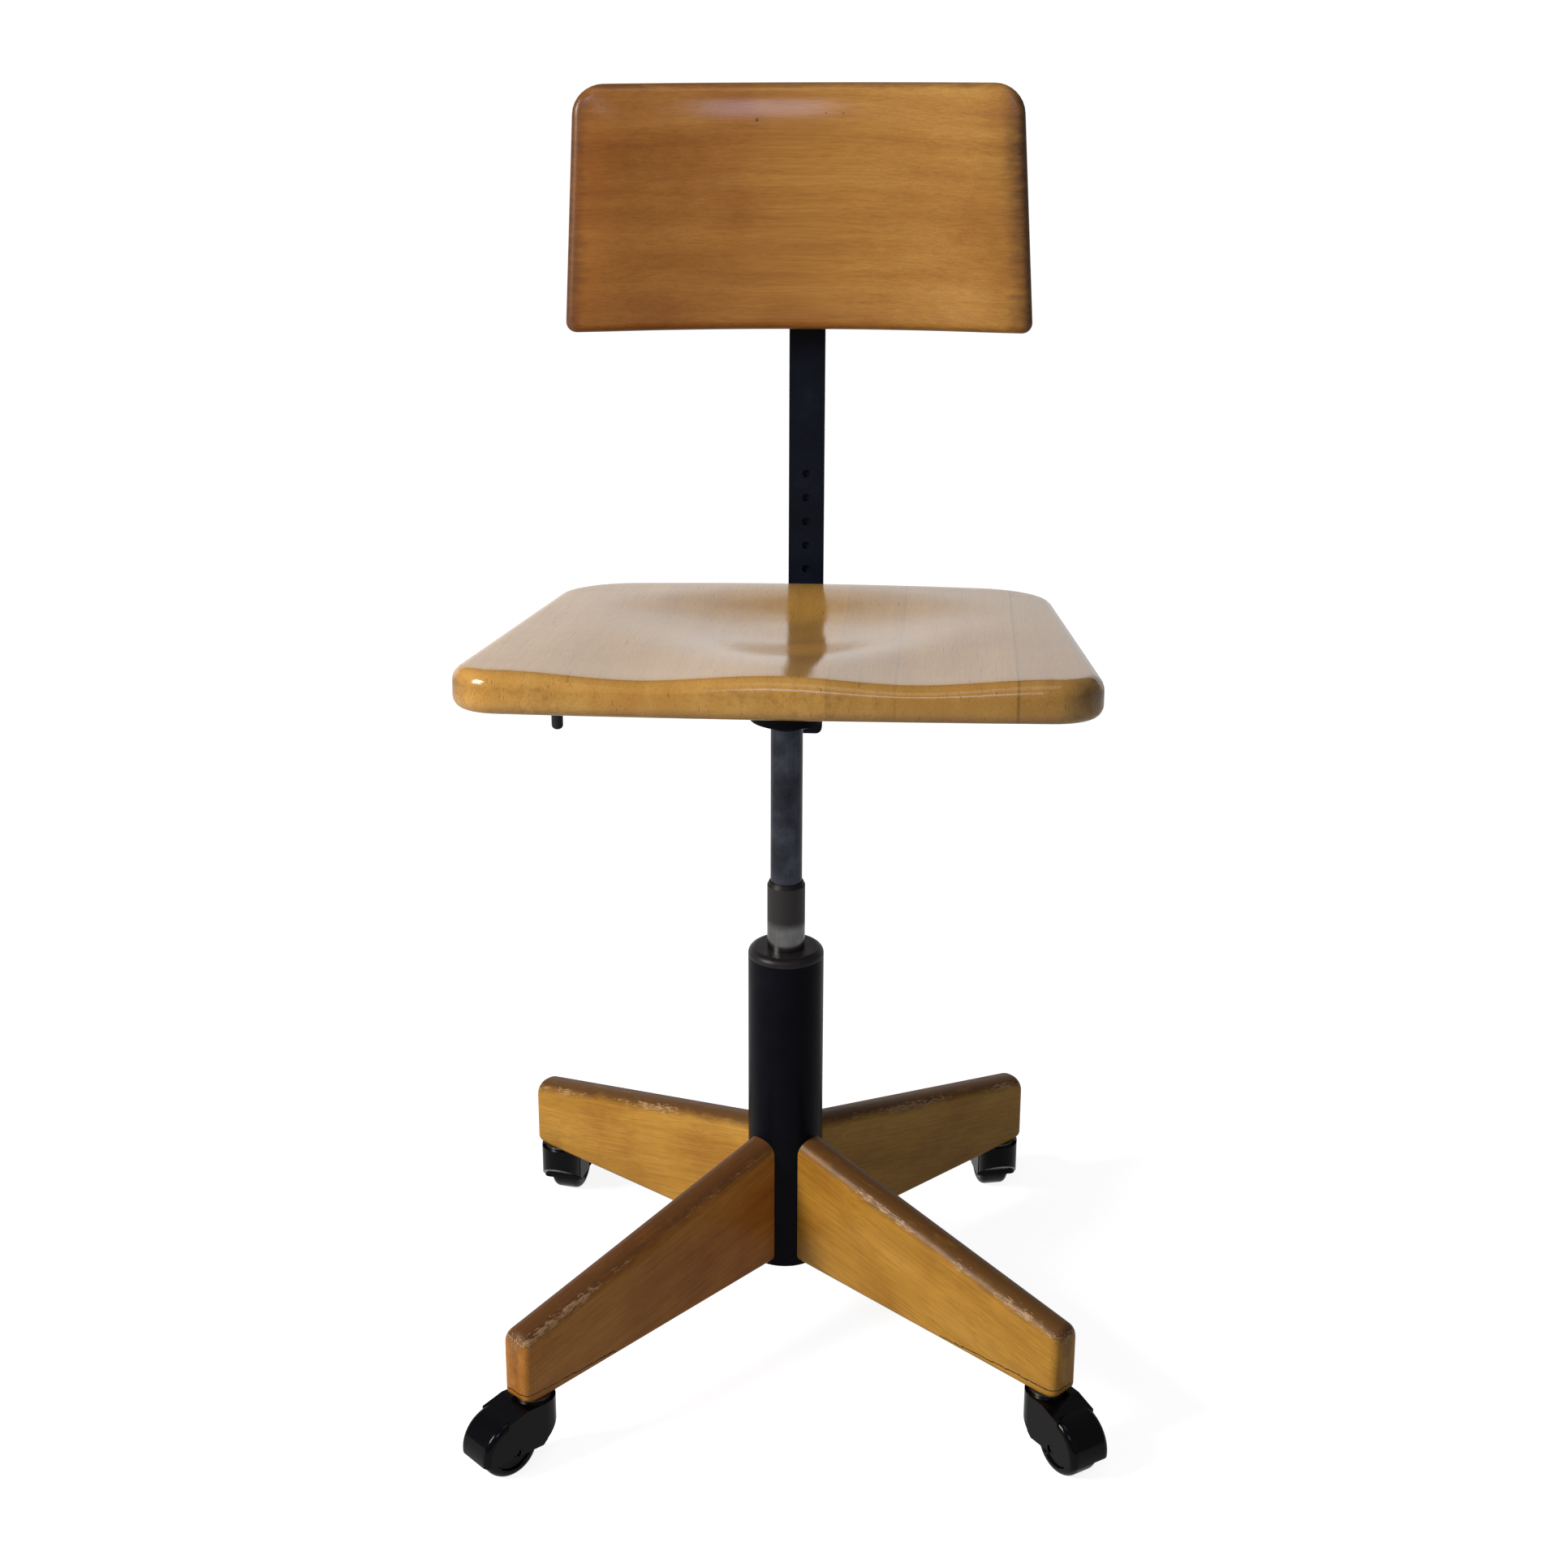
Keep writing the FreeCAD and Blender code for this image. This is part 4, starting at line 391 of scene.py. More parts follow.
# Stove enamel on steel: satin blue-black, faintly dimpled every 2.5 mm, rubbed to a lighter tone in spots
def enamelMaterial(name, look):
    material, tree, shader = newMaterial(name, {
        "Roughness": look["roughness"], "IOR": 1.5, "Specular IOR Level": look["shine"]})
    place = addNode(tree, "TexCoord")
    patch = addNode(tree, "TexNoise", {"Scale": 1 / 0.03, "Detail": 5.0, "Roughness": 0.65},
                    {"Vector": place.outputs["Object"]})
    colour = addNode(tree, "ValToRGB", {"stops": [
        (0.35, tone(look["dark"])), (0.62, tone(look["mid"])), (0.8, tone(look["rubbed"]))]},
        {"Fac": patch.outputs[0]})
    tree.links.new(colour.outputs[0], shader.inputs["Base Color"])
    rough = addNode(tree, "MapRange", {
        "From Min": 0.3, "From Max": 0.7,
        "To Min": look["roughness"] - 0.06, "To Max": look["roughness"] + 0.08}, {"Value": patch.outputs[0]})
    tree.links.new(rough.outputs[0], shader.inputs["Roughness"])
    dimple = addNode(tree, "TexNoise", {"Scale": 1 / 0.0025, "Detail": 2.0},
                     {"Vector": place.outputs["Object"]})
    relief = addNode(tree, "Bump", {"Strength": 0.1, "Distance": 0.0002}, {"Height": dimple.outputs[0]})
    tree.links.new(relief.outputs[0], shader.inputs["Normal"])
    return material


# Moulded black plastic: a smooth skin that handling and dust have dulled in patches
def plasticMaterial(name, look):
    material, tree, shader = newMaterial(name, {
        "Base Color": tone(look["colour"]), "Roughness": look["roughness"], "IOR": 1.5,
        "Specular IOR Level": look["shine"]})
    place = addNode(tree, "TexCoord")
    patch = addNode(tree, "TexNoise", {"Scale": 1 / 0.018, "Detail": 6.0, "Roughness": 0.7},
                    {"Vector": place.outputs["Object"]})
    rough = addNode(tree, "MapRange", {
        "From Min": 0.35, "From Max": 0.75,
        "To Min": look["roughness"], "To Max": look["roughness"] + 0.14}, {"Value": patch.outputs[0]})
    tree.links.new(rough.outputs[0], shader.inputs["Roughness"])
    dust = addNode(tree, "ValToRGB", {"stops": [(0.45, tone(look["colour"])), (0.8, tone(look["dust"]))]},
                   {"Fac": patch.outputs[0]})
    tree.links.new(dust.outputs[0], shader.inputs["Base Color"])
    grain = addNode(tree, "TexNoise", {"Scale": 1 / 0.0015, "Detail": 1.0},
                    {"Vector": place.outputs["Object"]})
    relief = addNode(tree, "Bump", {"Strength": look.get("bump", 0.05), "Distance": 0.0001},
                     {"Height": grain.outputs[0]})
    tree.links.new(relief.outputs[0], shader.inputs["Normal"])
    return material


# Drawn steel: upright draw lines and a thin even patina, a little darker in places
def steelMaterial(name, look):
    material, tree, shader = newMaterial(name, {"Metallic": 1.0, "Roughness": look["roughness"]})
    place = addNode(tree, "TexCoord")
    patch = addNode(tree, "TexNoise", {"Scale": 1 / look["patch"], "Detail": 5.0, "Roughness": 0.6},
                    {"Vector": place.outputs["Object"]})
    # draw lines 0.8 mm wide run up the tube
    lineSize = addNode(tree, "Mapping", {"Scale": look.get("lines", (1200, 1200, 12))},
                       {"Vector": place.outputs["Object"]})
    line = addNode(tree, "TexNoise", {"Scale": 1.0, "Detail": 2.0}, {"Vector": lineSize.outputs[0]})
    colour = addNode(tree, "ValToRGB", {"stops": [
        (0.3, tone(look["dark"])), (0.5, tone(look["mid"])), (0.72, tone(look["light"]))]},
        {"Fac": patch.outputs[0]}).outputs[0]
    lineShade = addNode(tree, "ValToRGB", {"stops": [(0.3, grey(0.85)), (0.7, grey(1.0))]},
                        {"Fac": line.outputs[0]})
    colour = addNode(tree, "MixRGB", {"blend_type": "MULTIPLY", "Fac": 1.0},
                     {"Color1": colour, "Color2": lineShade.outputs[0]}).outputs[0]
    rough = addNode(tree, "MapRange", {
        "From Min": 0.3, "From Max": 0.7,
        "To Min": look["roughness"] + 0.08, "To Max": look["roughness"] - 0.04},
        {"Value": patch.outputs[0]}).outputs[0]
    if "stained" in look:
        # old dark grease above a line, wiped off where the tube slides
        low, high = look["stained"]
        ragged = addNode(tree, "VectorMath", {"operation": "MULTIPLY_ADD", 1: (0, 0, 0.006)},
                         {0: patch.outputs["Color"], 2: place.outputs["Object"]})
        height = addNode(tree, "SeparateXYZ", {}, {0: ragged.outputs[0]})
        grime = addNode(tree, "MapRange", {
            "From Min": low, "From Max": high, "interpolation_type": "SMOOTHSTEP"},
            {"Value": height.outputs[2]}).outputs[0]
        colour = addNode(tree, "MixRGB", {"Color2": tone(look["grime"])},
                         {"Fac": grime, "Color1": colour}).outputs[0]
        rough = addNode(tree, "Mix", {"B": 0.5}, {"Factor": grime, "A": rough}).outputs[0]
        metal = addNode(tree, "MapRange", {"To Min": 1.0, "To Max": 0.1}, {"Value": grime}).outputs[0]
        tree.links.new(metal, shader.inputs["Metallic"])
    tree.links.new(colour, shader.inputs["Base Color"])
    tree.links.new(rough, shader.inputs["Roughness"])
    relief = addNode(tree, "Bump", {"Strength": 0.1, "Distance": 0.0001}, {"Height": line.outputs[0]})
    tree.links.new(relief.outputs[0], shader.inputs["Normal"])
    return material


# Seat board

seatLook = {
    "front": 0.198, "back": 0.196, "frontWidth": 0.406, "backWidth": 0.350, "thick": 0.027,
    "frontBow": 0.006, "backBow": 0.017, "corner": 0.034, "backCorner": 0.048,
    "topRound": 0.010, "underRound": 0.008,
    "bowlDepth": 0.0115, "bowlMiddle": 0.052, "bowlHalf": 0.146, "bowlFront": 0.215, "bowlBack": 0.104,
    "bowlEase": 0.85,
    "thighDepth": 0.0045, "thighPlace": 0.085, "thighHalf": 0.085,
    "underside": 0.50774, "tilt": 8.5, "aside": 0.0035, "sag": 0.4,
}


def makeSeat(look):
    frontY, backY = look["frontBow"] - look["front"], look["back"] - look["backBow"]
    half, thick = look["frontWidth"] / 2, look["thick"]
    seat = addBox("seat_board", (-half, frontY, 0), (half, backY, thick))
    edit(seat)
    pick(seat, "VERT", lambda v: v.co.y > 0)
    narrow = look["backWidth"] / look["frontWidth"]
    bpy.ops.transform.resize(value=(narrow, 1, 1))
    for radius, sign in ((look["corner"], -1), (look["backCorner"], 1)):
        pick(seat, "EDGE", lambda e: runs(e, 2) and middle(e).y * sign > 0.12)
        bpy.ops.mesh.bevel(offset=radius, segments=10, affect="EDGES")
    pick(seat, "EDGE", lambda e: all(v.co.z > thick - 1e-5 for v in e.verts))
    bpy.ops.mesh.bevel(offset=look["topRound"], segments=7, affect="EDGES")
    pick(seat, "EDGE", lambda e: all(v.co.z < 1e-5 for v in e.verts))
    bpy.ops.mesh.bevel(offset=look["underRound"], segments=6, affect="EDGES")
    cutAcross(seat, 0, steps(-half, half, 39))
    cutAcross(seat, 1, steps(frontY, backY, 37))
    bpy.ops.object.mode_set(mode="OBJECT")

    def saddle(co):
        x, y, z = co
        share = (y - frontY) / (backY - frontY)
        bow = -look["frontBow"] * (1 - (x / half) ** 2) * soft(1 - share * 2)
        bow += look["backBow"] * (1 - (x / half / narrow) ** 2) * soft(share * 2 - 1)
        run = (y - look["bowlMiddle"]) / (look["bowlBack"] if y > look["bowlMiddle"] else look["bowlFront"])
        # the bowl's rear wall is short, and towards the front it runs out slowly
        bowl = look["bowlDepth"] * soft((1 - math.hypot(x / look["bowlHalf"], run)) / look["bowlEase"])
        fade = soft((look["bowlMiddle"] - y) / look["bowlFront"])
        thigh = look["thighDepth"] * soft(1 - abs(abs(x) - look["thighPlace"]) / look["thighHalf"]) * fade
        drop = math.hypot(bowl, thigh)
        return Vector((x, y + bow, z - drop * soft(z / thick * 1.6 - 0.6)))

    moveVerts(seat, saddle)

    def edgeWear(vertex):
        x, y, z = vertex.co
        side = max(0.0, 1 - vertex.normal.z) if z > thick * 0.3 else 0.5
        end = soft((abs(x) - half * 0.86) / (half * 0.12))
        return min(1.0, 0.25 * side + 0.45 * end * side)

    paint(seat, "worn", edgeWear)
    place = Matrix.Translation((axisX + look["aside"], axisY, look["underside"]))
    settle(seat, place @ turn(-look["sag"], "Y") @ turn(-look["tilt"], "X"))
    smooth(seat, 40)
    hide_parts("seat_panel")
    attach(seat, "seat")
    return seat


seat = makeSeat(seatLook)
print("seat board", len(seat.data.polygons), "faces")

# Backrest board

backLook = {
    "lowWidth": 0.329, "topWidth": 0.311, "height": 0.170, "thick": 0.020, "radius": 0.490,
    "aside": -0.0045, "sag": 0.8,
    "standOff": 0.016, "roll": 0.0075, "border": 0.040, "topCorner": 0.020, "lowCorner": 0.008,
    "edgeRound": 0.006, "lean": 5.0, "wornLeft": 0.018, "wornRight": 0.027, "wornTop": 0.007,
}
pivotLow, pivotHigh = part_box("friction_washers")
pivot = (pivotLow + pivotHigh) / 2


def makeBackrest(look):
    half, tall, thick = look["lowWidth"] / 2, look["height"] / 2, look["thick"]
    back = addBox("backrest_board", (-half, -thick, -tall), (half, 0, tall))
    edit(back)
    pick(back, "VERT", lambda v: v.co.z > 0)
    bpy.ops.transform.resize(value=(look["topWidth"] / look["lowWidth"], 1, 1))
    for radius, sign in ((look["topCorner"], 1), (look["lowCorner"], -1)):
        pick(back, "EDGE", lambda e: runs(e, 1) and middle(e).z * sign > 0)
        bpy.ops.mesh.bevel(offset=radius, segments=8, affect="EDGES")
    for depth in (-thick, 0):
        pick(back, "EDGE", lambda e: all(abs(v.co.y - depth) < 1e-5 for v in e.verts))
        bpy.ops.mesh.bevel(offset=look["edgeRound"], segments=6, affect="EDGES")
    cutAcross(back, 0, steps(-half, half, 49))
    cutAcross(back, 2, steps(-tall, tall, 27))
    bpy.ops.object.mode_set(mode="OBJECT")

    def toSide(x, z):
        return half + (look["topWidth"] / 2 - half) * (z + tall) / (2 * tall) - abs(x)

    def hollow(co):
        x, y, z = co
        lowShare = 1.0 if z > 0 else 0.35
        inside = rolled(toSide(x, z) / look["border"])
        inside *= 1 - lowShare * (1 - rolled((tall - abs(z)) / look["border"]))
        curve = look["radius"] - math.sqrt(look["radius"] ** 2 - x ** 2)
        fall = look["roll"] * (1 - inside) * soft(-y / thick)
        return Vector((x, y - look["standOff"] - curve + fall, z))

    moveVerts(back, hollow)

    def edgeWear(vertex):
        x, y, z = vertex.co
        # the dark band at the right end is wider than at the left
        border = look["wornRight"] if x > 0 else look["wornLeft"]
        ends = soft(1 - toSide(x, z) / border)
        return 0.85 * max(ends, 0.6 * soft(1 - (tall - abs(z)) / look["wornTop"]))

    paint(back, "worn", edgeWear)
    place = Matrix.Translation(pivot + Vector((look["aside"], 0, 0)))
    settle(back, place @ turn(-look["sag"], "Y") @ turn(-look["lean"], "X"))
    smooth(back, 40)
    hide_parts("backrest_panel")
    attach(back, "backrest")
    return back


backrest = makeBackrest(backLook)
print("backrest board", len(backrest.data.polygons), "faces")

# Legs

legLook = {
    "start": 0.0234, "reach": 0.261, "tipLow": 0.050, "tipHigh": 0.103, "hubLow": 0.060, "hubHigh": 0.158,
    "thick": 0.024, "topRound": 0.0108, "lowRound": 0.005, "endRound": 0.006, "column": 0.02655,
    "socketAt": 0.245, "socketRadius": 0.0056, "socketTop": 0.085,
    "flangeRadius": 0.0102, "flangeTop": 0.0513,
    "cornerRun": 0.014, "cornerRise": 0.020, "cornerLift": 0.0015,
    "wornTop": 0.012, "wornFoot": 0.008, "wornEnd": 0.010, "ridgeDown": 0.005, "ridgeHalf": 0.0075,
}


def makeLeg(look, name):
    half, start, reach = look["thick"] / 2, look["start"], look["reach"]
    leg = addBox(name, (start, -half, look["hubLow"]), (reach, half, look["hubHigh"]))
    edit(leg)
    middleX = (start + reach) / 2
    pick(leg, "VERT", lambda v: v.co.x > middleX and v.co.z < 0.1)
    bpy.ops.transform.translate(value=(0, 0, look["tipLow"] - look["hubLow"]))
    pick(leg, "VERT", lambda v: v.co.x > middleX and v.co.z > 0.1)
    bpy.ops.transform.translate(value=(0, 0, look["tipHigh"] - look["hubHigh"]))
    # nearly a full round along the top, a small one along the foot and round the end
    pick(leg, "EDGE", lambda e: runs(e, 0, 0.8) and middle(e).z > 0.1)
    bpy.ops.mesh.bevel(offset=look["topRound"], segments=10, affect="EDGES")
    pick(leg, "EDGE", lambda e: runs(e, 0, 0.8) and middle(e).z < 0.06)
    bpy.ops.mesh.bevel(offset=look["lowRound"], segments=5, affect="EDGES")
    pick(leg, "EDGE", lambda e: all(v.co.x > reach - 1e-5 for v in e.verts))
    bpy.ops.mesh.bevel(offset=look["endRound"], segments=5, affect="EDGES")
    cutAcross(leg, 0, steps(start, reach, 34))
    cutAcross(leg, 1, [-0.009, -0.006, -0.003, 0, 0.003, 0.006, 0.009])
    bpy.ops.object.mode_set(mode="OBJECT")

    # scribed to the column, and the foot's corner is taken off above the caster
    def fit(co):
        x, y, z = co
        if x < start + 1e-4:
            x = math.sqrt(look["column"] ** 2 - y ** 2)
        lift = soft((x - reach + look["cornerRun"]) / look["cornerRun"])
        lift *= soft((look["tipLow"] + look["cornerRise"] - z) / look["cornerRise"])
        return Vector((x, y, z + look["cornerLift"] * lift))

    moveVerts(leg, fit)
    bore(leg, look["socketRadius"], look["socketAt"], 0.02, look["socketTop"])
    bore(leg, look["flangeRadius"], look["socketAt"], 0.02, look["flangeTop"])

    def edgeAt(x, hub, tip):
        return look[hub] + (look[tip] - look[hub]) * (x - start) / (reach - start)

    def edgeWear(vertex):
        x, y, z = vertex.co
        upper = soft(1 - (edgeAt(x, "hubHigh", "tipHigh") - z) / look["wornTop"])
        lower = soft(1 - (z - edgeAt(x, "hubLow", "tipLow")) / look["wornFoot"])
        end = soft(1 - (reach - x) / look["wornEnd"])
        return min(1.0, 1.1 * upper + 0.3 * lower + 0.12 * end)

    def ridgeWear(vertex):
        x, y, z = vertex.co
        down = edgeAt(x, "hubHigh", "tipHigh") - z
        along = soft(1 - abs(down - look["ridgeDown"]) / look["ridgeHalf"])
        # feet reach the outer part of a leg more than the part by the column
        return along * (0.55 + 0.45 * soft((x - start) / 0.1))

    paint(leg, "worn", edgeWear)
    paint(leg, "ridge", ridgeWear)
    return leg


def bore(piece, radius, x, low, high):
    deselectAll()
    bpy.ops.mesh.primitive_cylinder_add(
        vertices=48, radius=radius, depth=high - low, location=(x, 0, (low + high) / 2))
    drill = bpy.context.object
    cut = piece.modifiers.new("bore", "BOOLEAN")
    cut.operation = "DIFFERENCE"
    cut.solver = "EXACT"
    cut.object = drill
    choose(piece)
    bpy.ops.object.modifier_apply(modifier=cut.name)
    bpy.data.objects.remove(drill)


legs = {}
firstLeg = makeLeg(legLook, "leg_board")
for corner, angle in corners.items():
    leg = firstLeg.copy()
    leg.data = firstLeg.data.copy()
    leg.name = leg.data.name = "leg_board_" + corner
    bpy.context.scene.collection.objects.link(leg)
    settle(leg, Matrix.Translation((axisX, axisY, 0)) @ turn(baseTurn + angle, "Z"))
    smooth(leg, 35)
    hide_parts("leg_" + corner)
    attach(leg, "base")
    legs[corner] = leg
bpy.data.objects.remove(firstLeg)
print("legs", len(legs), "of", len(legs["rear_left"].data.polygons), "faces")

# Finishes

seatWood = beechMaterial("beech_clear_varnish_seat", {
    "dark": "#BC873C", "mid": "#CA9748", "light": "#D6A656", "stain": "#C8A274", "edge": "#5E3619",
    "origin": (axisX + 0.0035, axisY, 0.5), "turn": (0, math.radians(8.5), math.radians(90)),
    # shades step from 1.08 at the left to 0.84 at the right: partly the staves' own tone, partly painted
    # shade for the light that falls from the left
    "staveShadesAndFalloff": [(-0.25, 0.84, 0.84), (-0.1485, 0.62, 0.93), (-0.0745, 0.8, 0.9), (-0.033, 0.82, 1.04),
               (0.147, 0.85, 1.08)],
    "fibre": 0.88, "gloss": 0.1, "coat": 0.72, "stained": 0.25, "soft": 0.45,
    "scratched": [(20, 0.725), (-65, 0.74)],
})
backWood = beechMaterial("beech_clear_varnish_backrest", {
    "dark": "#AD7637", "mid": "#BD873F", "light": "#CB964C", "stain": "#BD8C60", "edge": "#4C2E1C",
    "origin": (axisX, axisY, 0.7), "turn": (math.radians(90), 0, 0), "drift": (-0.2, 0.12, "#DCC4B4"),
    "fibre": 0.84, "stained": 0.4, "gloss": 0.16, "coat": 0.55, "soft": 0.26,
    "pits": [(pivot + Vector((-0.0345, -0.034, 0.0627)), 0.0017),
             (pivot + Vector((0.0135, -0.034, 0.0677)), 0.0013),
             (pivot + Vector((0.0255, -0.034, 0.0677)), 0.0012)],
})
seat.data.materials.clear()
seat.data.materials.append(seatWood)
backrest.data.materials.clear()
backrest.data.materials.append(backWood)
legTones = {"dark": "#B9842F", "mid": "#C8933A", "light": "#D29E45"}
# the front left leg gets darker, redder tones: painted shade for its side turned away from the lamp
shadedLegTones = {"dark": "#AA6C29", "mid": "#B97931", "light": "#C5873C"}
for corner, angle in corners.items():
    legWood = beechMaterial("beech_clear_varnish_leg_" + corner, {
        **(shadedLegTones if corner == "front_left" else legTones), "stain": "#A87048",
        "edge": "#54351F", "scuff": "#BE986E", "origin": (axisX, axisY, 0.1 + angle / 1000),
        "turn": (0, math.radians(13), math.radians(baseTurn + angle)), "gloss": 0.25, "coat": 0.2,
        "fibre": 0.82, "stained": 0.35, "handled": 0.88,
        **({"crack": (0.0605, 0.236)} if "front" in corner else {})})
    legs[corner].data.materials.clear()
    legs[corner].data.materials.append(legWood)

blackEnamel = enamelMaterial("stove_enamel_black", {
    "dark": "#09090F", "mid": "#0D0D15", "rubbed": "#15151E", "roughness": 0.3, "shine": 0.05})
barEnamel = enamelMaterial("stove_enamel_bar", {
    "dark": "#0F131C", "mid": "#141924", "rubbed": "#1E222C", "roughness": 0.4, "shine": 0.08})
blackPlastic = plasticMaterial("moulded_plastic_gloss", {
    "colour": "#030306", "dust": "#07070A", "roughness": 0.06, "shine": 0.14})
capPlastic = plasticMaterial("moulded_plastic_satin", {
    "colour": "#1A1719", "dust": "#282527", "roughness": 0.36, "bump": 0.15, "shine": 0.25})
bushPlastic = plasticMaterial("bearing_plastic_brown", {
    "colour": "#140F11", "dust": "#20191A", "roughness": 0.4, "shine": 0.2})
postSteel = steelMaterial("drawn_steel_aged", {
    "dark": "#2C2D34", "mid": "#383A42", "light": "#4A4D58", "roughness": 0.3, "patch": 0.02})
liftSteel = steelMaterial("ground_steel_wiped", {
    "dark": "#5E5D5C", "mid": "#727171", "light": "#8C8C8E", "roughness": 0.2, "patch": 0.03,
    "stained": (0.318, 0.326), "grime": "#151011"})
zincSteel = steelMaterial("zinc_plated_steel", {
    "dark": "#7C7F84", "mid": "#9A9DA2", "light": "#B6B8BB", "roughness": 0.3, "patch": 0.006,
    "lines": (600, 600, 600)})

dress(blackEnamel, "column_tube", "seat_head", "mounting_plate", "backrest_arm", "backrest_guide",
      "backrest_bracket", "lock_housing", "height_lever")
dress(barEnamel, "upright_bar")
dress(capPlastic, "column_cap", "column_foot_plug", "lever_grip", "lock_knob", "friction_washers")
dress(blackPlastic, *["caster_%s_%s" % (part, c) for part in ("hood", "wheel", "axle") for c in corners])
dress(bushPlastic, "post_bush_lower", "post_bush_upper")
dress(postSteel, "seat_post", "release_rod", "inner_guide_tube", "lift_foot")
dress(liftSteel, "lift_tube")
dress(zincSteel, "leg_bolts", "leg_inserts", "caster_sockets", "thrust_washer", "locking_balls",
      "lever_pivot_pin", "lever_spring", "seat_screws", "arm_bolts", "lock_spring", "lock_pin",
      "bar_stop_pin", "backrest_screws", "pivot_bolt", "pivot_cap_nut",
      *["caster_stem_" + c for c in corners])
print("finishes", len(bpy.data.materials))

# Floor, light and camera

floorLook = {"size": 40.0, "near": 0.4, "far": 2.0, "nearWhite": 0.88, "farWhite": 0.97, "mirrored": 0.4}


def makeFloor(look):
    deselectAll()
    bpy.ops.mesh.primitive_plane_add(size=look["size"], location=(axisX, axisY, -0.0002))
    floor = named("floor")
    material, tree = bareMaterial("pale_floor")
    seen = addNode(tree, "LightPath")
    diffuse = addNode(tree, "BsdfDiffuse", {"Color": grey(0.5)})
    # the floor glows a little less near the chair, a painted dimming round it, so that a faint shadow stays
    # there
    place = addNode(tree, "TexCoord")
    away = addNode(tree, "VectorMath", {"operation": "LENGTH"}, {0: place.outputs["Object"]})
    bright = addNode(tree, "MapRange", {
        "From Min": look["near"], "From Max": look["far"],
        "To Min": look["nearWhite"], "To Max": look["farWhite"]}, {"Value": away.outputs["Value"]})
    white = addNode(tree, "Emission", {"Color": grey(1.0)}, {"Strength": bright.outputs[0]})
    both = addNode(tree, "AddShader", {}, {0: diffuse.outputs[0], 1: white.outputs[0]})
    mirrored = addNode(tree, "Math", {"operation": "MULTIPLY", 1: look["mirrored"]},
                       {0: seen.outputs["Is Glossy Ray"]})
    shown = addNode(tree, "Math", {"operation": "MAXIMUM"},
                    {0: seen.outputs["Is Camera Ray"], 1: mirrored.outputs[0]})
    pale = addNode(tree, "MixShader", {},
                   {"Fac": shown.outputs[0], 1: diffuse.outputs[0], 2: both.outputs[0]})
    addNode(tree, "OutputMaterial", {}, {"Surface": pale.outputs[0]})
    floor.data.materials.append(material)


makeFloor(floorLook)

# A white screen stands behind the chair and fades upwards and to the right. Only mirroring surfaces
# see it: it gives the varnished seat its pale sheen.
screenLook = {"aside": -0.3, "behind": 2.3, "height": 0.8, "width": 5.0, "tall": 1.6, "white": 1.15}


def makeScreen(look):
    deselectAll()
    bpy.ops.mesh.primitive_plane_add(
        size=1, location=(axisX + look["aside"], axisY + look["behind"], look["height"]),
        rotation=(math.radians(90), 0, 0))
    screen = named("screen")
    screen.scale = (look["width"], look["tall"], 1.0)
    bpy.ops.object.transform_apply(location=False, rotation=True, scale=True)
    material, tree = bareMaterial("white_screen")
    seen = addNode(tree, "LightPath")
    place = addNode(tree, "TexCoord")
    split = addNode(tree, "SeparateXYZ", {}, {0: place.outputs["Object"]})
    upward = addNode(tree, "MapRange", {
        "From Min": 0.72, "From Max": 0.25, "To Min": 0.0, "To Max": look["white"],
        "interpolation_type": "SMOOTHSTEP"}, {"Value": split.outputs[2]})
    aside = addNode(tree, "MapRange", {"From Min": -0.6, "From Max": 1.2, "To Min": 1.0, "To Max": 0.75},
                    {"Value": split.outputs[0]})
    glow = addNode(tree, "Math", {"operation": "MULTIPLY"}, {0: upward.outputs[0], 1: aside.outputs[0]})
    clear = addNode(tree, "BsdfTransparent")
    white = addNode(tree, "Emission", {"Color": grey(1.0)}, {"Strength": glow.outputs[0]})
    lit = addNode(tree, "MixShader", {},
                  {"Fac": seen.outputs["Is Glossy Ray"], 1: clear.outputs[0], 2: white.outputs[0]})
    addNode(tree, "OutputMaterial", {}, {"Surface": lit.outputs[0]})
    screen.data.materials.append(material)


makeScreen(screenLook)

# White to the camera, grey to mirroring surfaces and faint as a light
roomLook = {"light": 0.10, "mirrored": 0.28}


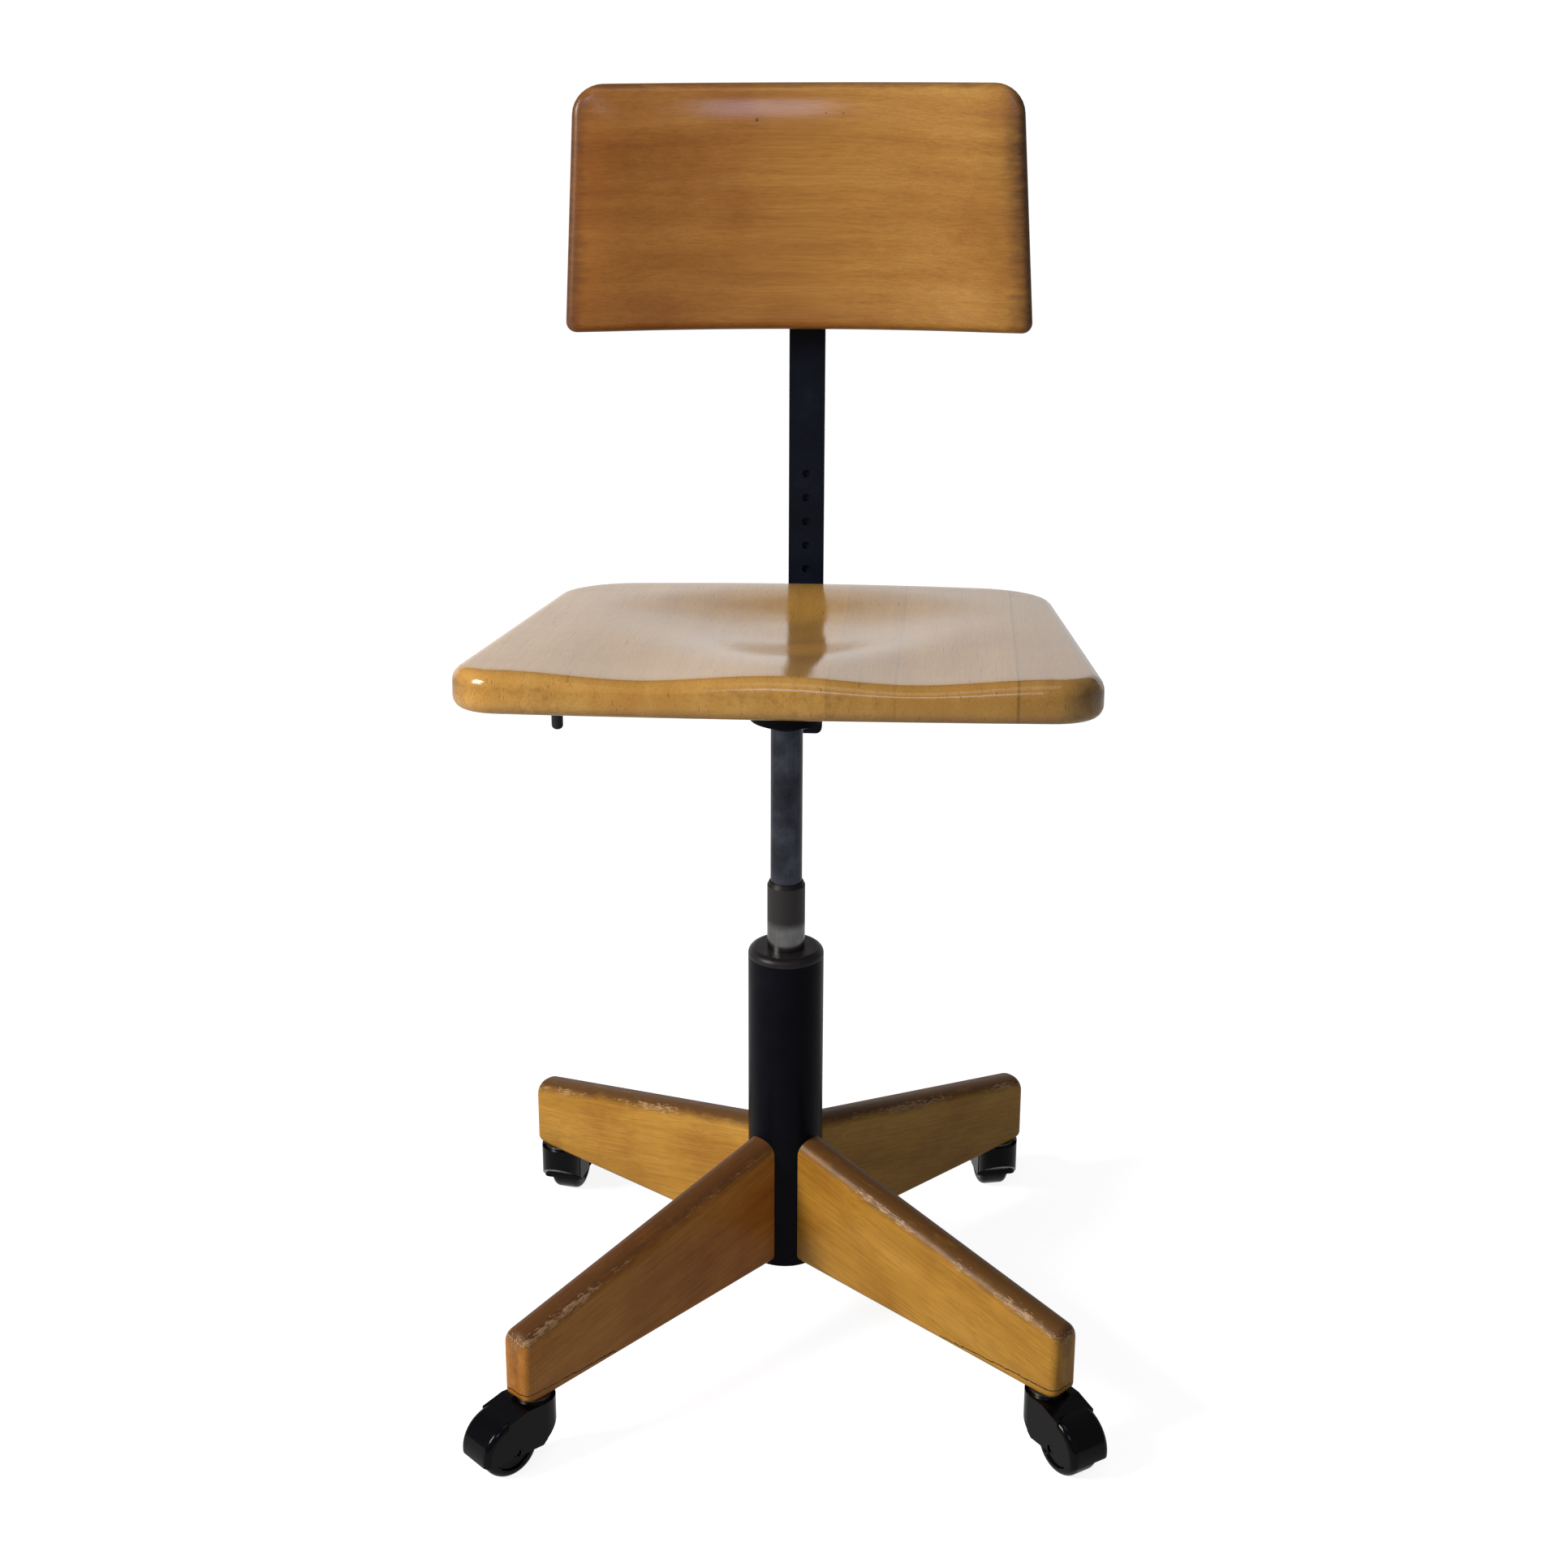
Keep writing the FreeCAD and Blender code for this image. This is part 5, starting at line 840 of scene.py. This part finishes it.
def makeRoom(look):
    world = bpy.data.worlds.new("pale_room")
    bpy.context.scene.world = world
    world.use_nodes = True
    tree = world.node_tree
    tree.nodes.clear()
    seen = addNode(tree, "LightPath")
    mirrored = addNode(tree, "MapRange", {"To Min": look["light"], "To Max": look["mirrored"]},
                       {"Value": seen.outputs["Is Glossy Ray"]})
    strength = addNode(tree, "Math", {"operation": "MAXIMUM"},
                       {0: seen.outputs["Is Camera Ray"], 1: mirrored.outputs[0]})
    sky = addNode(tree, "Background", {"Color": grey(1.0)}, {"Strength": strength.outputs[0]})
    addNode(tree, "OutputWorld", {}, {"Surface": sky.outputs[0]})


makeRoom(roomLook)

lamps = {
    "window_left": {"place": (-2.1, -1.25, 1.7), "target": (0, 0, 0.45), "size": (0.8, 1.0),
                    "power": 74.0, "colour": "#FFFAF2"},
    "bounce_right": {"place": (2.2, -1.6, 1.3), "target": (0, 0, 0.5), "size": (1.2, 1.6),
                     "power": 0.8, "colour": "#F4F6FF"},
    "ceiling": {"place": (0.2, -0.6, 2.8), "target": (0, 0, 0.4), "size": (1.2, 0.9),
                "power": 4.5, "colour": "#FFFFFF"},
    "sky_over_camera": {"place": (0.0, -2.4, 2.2), "target": (0, 0, 0.8), "size": (0.8, 0.6),
                        "power": 11.0, "colour": "#C4D2FF"},
}


def addLamp(name, look):
    data = bpy.data.lights.new(name, "AREA")
    data.shape = "RECTANGLE"
    data.size, data.size_y = look["size"]
    data.energy = look["power"]
    data.color = tone(look["colour"])[:3]
    lamp = bpy.data.objects.new(name, data)
    bpy.context.scene.collection.objects.link(lamp)
    lamp.location = look["place"]
    way = Vector(look["target"]) - Vector(look["place"])
    lamp.rotation_euler = way.to_track_quat("-Z", "Y").to_euler()


for name, look in lamps.items():
    addLamp(name, look)

cameraLook = {"distance": 1.7363, "height": 1.0973, "down": 21.27, "turn": 3.6, "pan": 0.06, "roll": 0.2,
              "lens": 62.49}


def makeCamera(look):
    data = bpy.data.cameras.new("camera")
    data.sensor_width = 36
    data.lens = look["lens"]
    camera = bpy.data.objects.new("camera", data)
    bpy.context.scene.collection.objects.link(camera)
    around = math.radians(look["turn"])
    camera.location = (axisX + look["distance"] * math.sin(around),
                       axisY - look["distance"] * math.cos(around), look["height"])
    view = turn(look["turn"] + look["pan"], "Z") @ turn(90 - look["down"], "X") @ turn(look["roll"], "Z")
    camera.rotation_euler = view.to_euler()
    bpy.context.scene.camera = camera


makeCamera(cameraLook)
bpy.context.scene.view_settings.view_transform = "Standard"
print("stage ready")
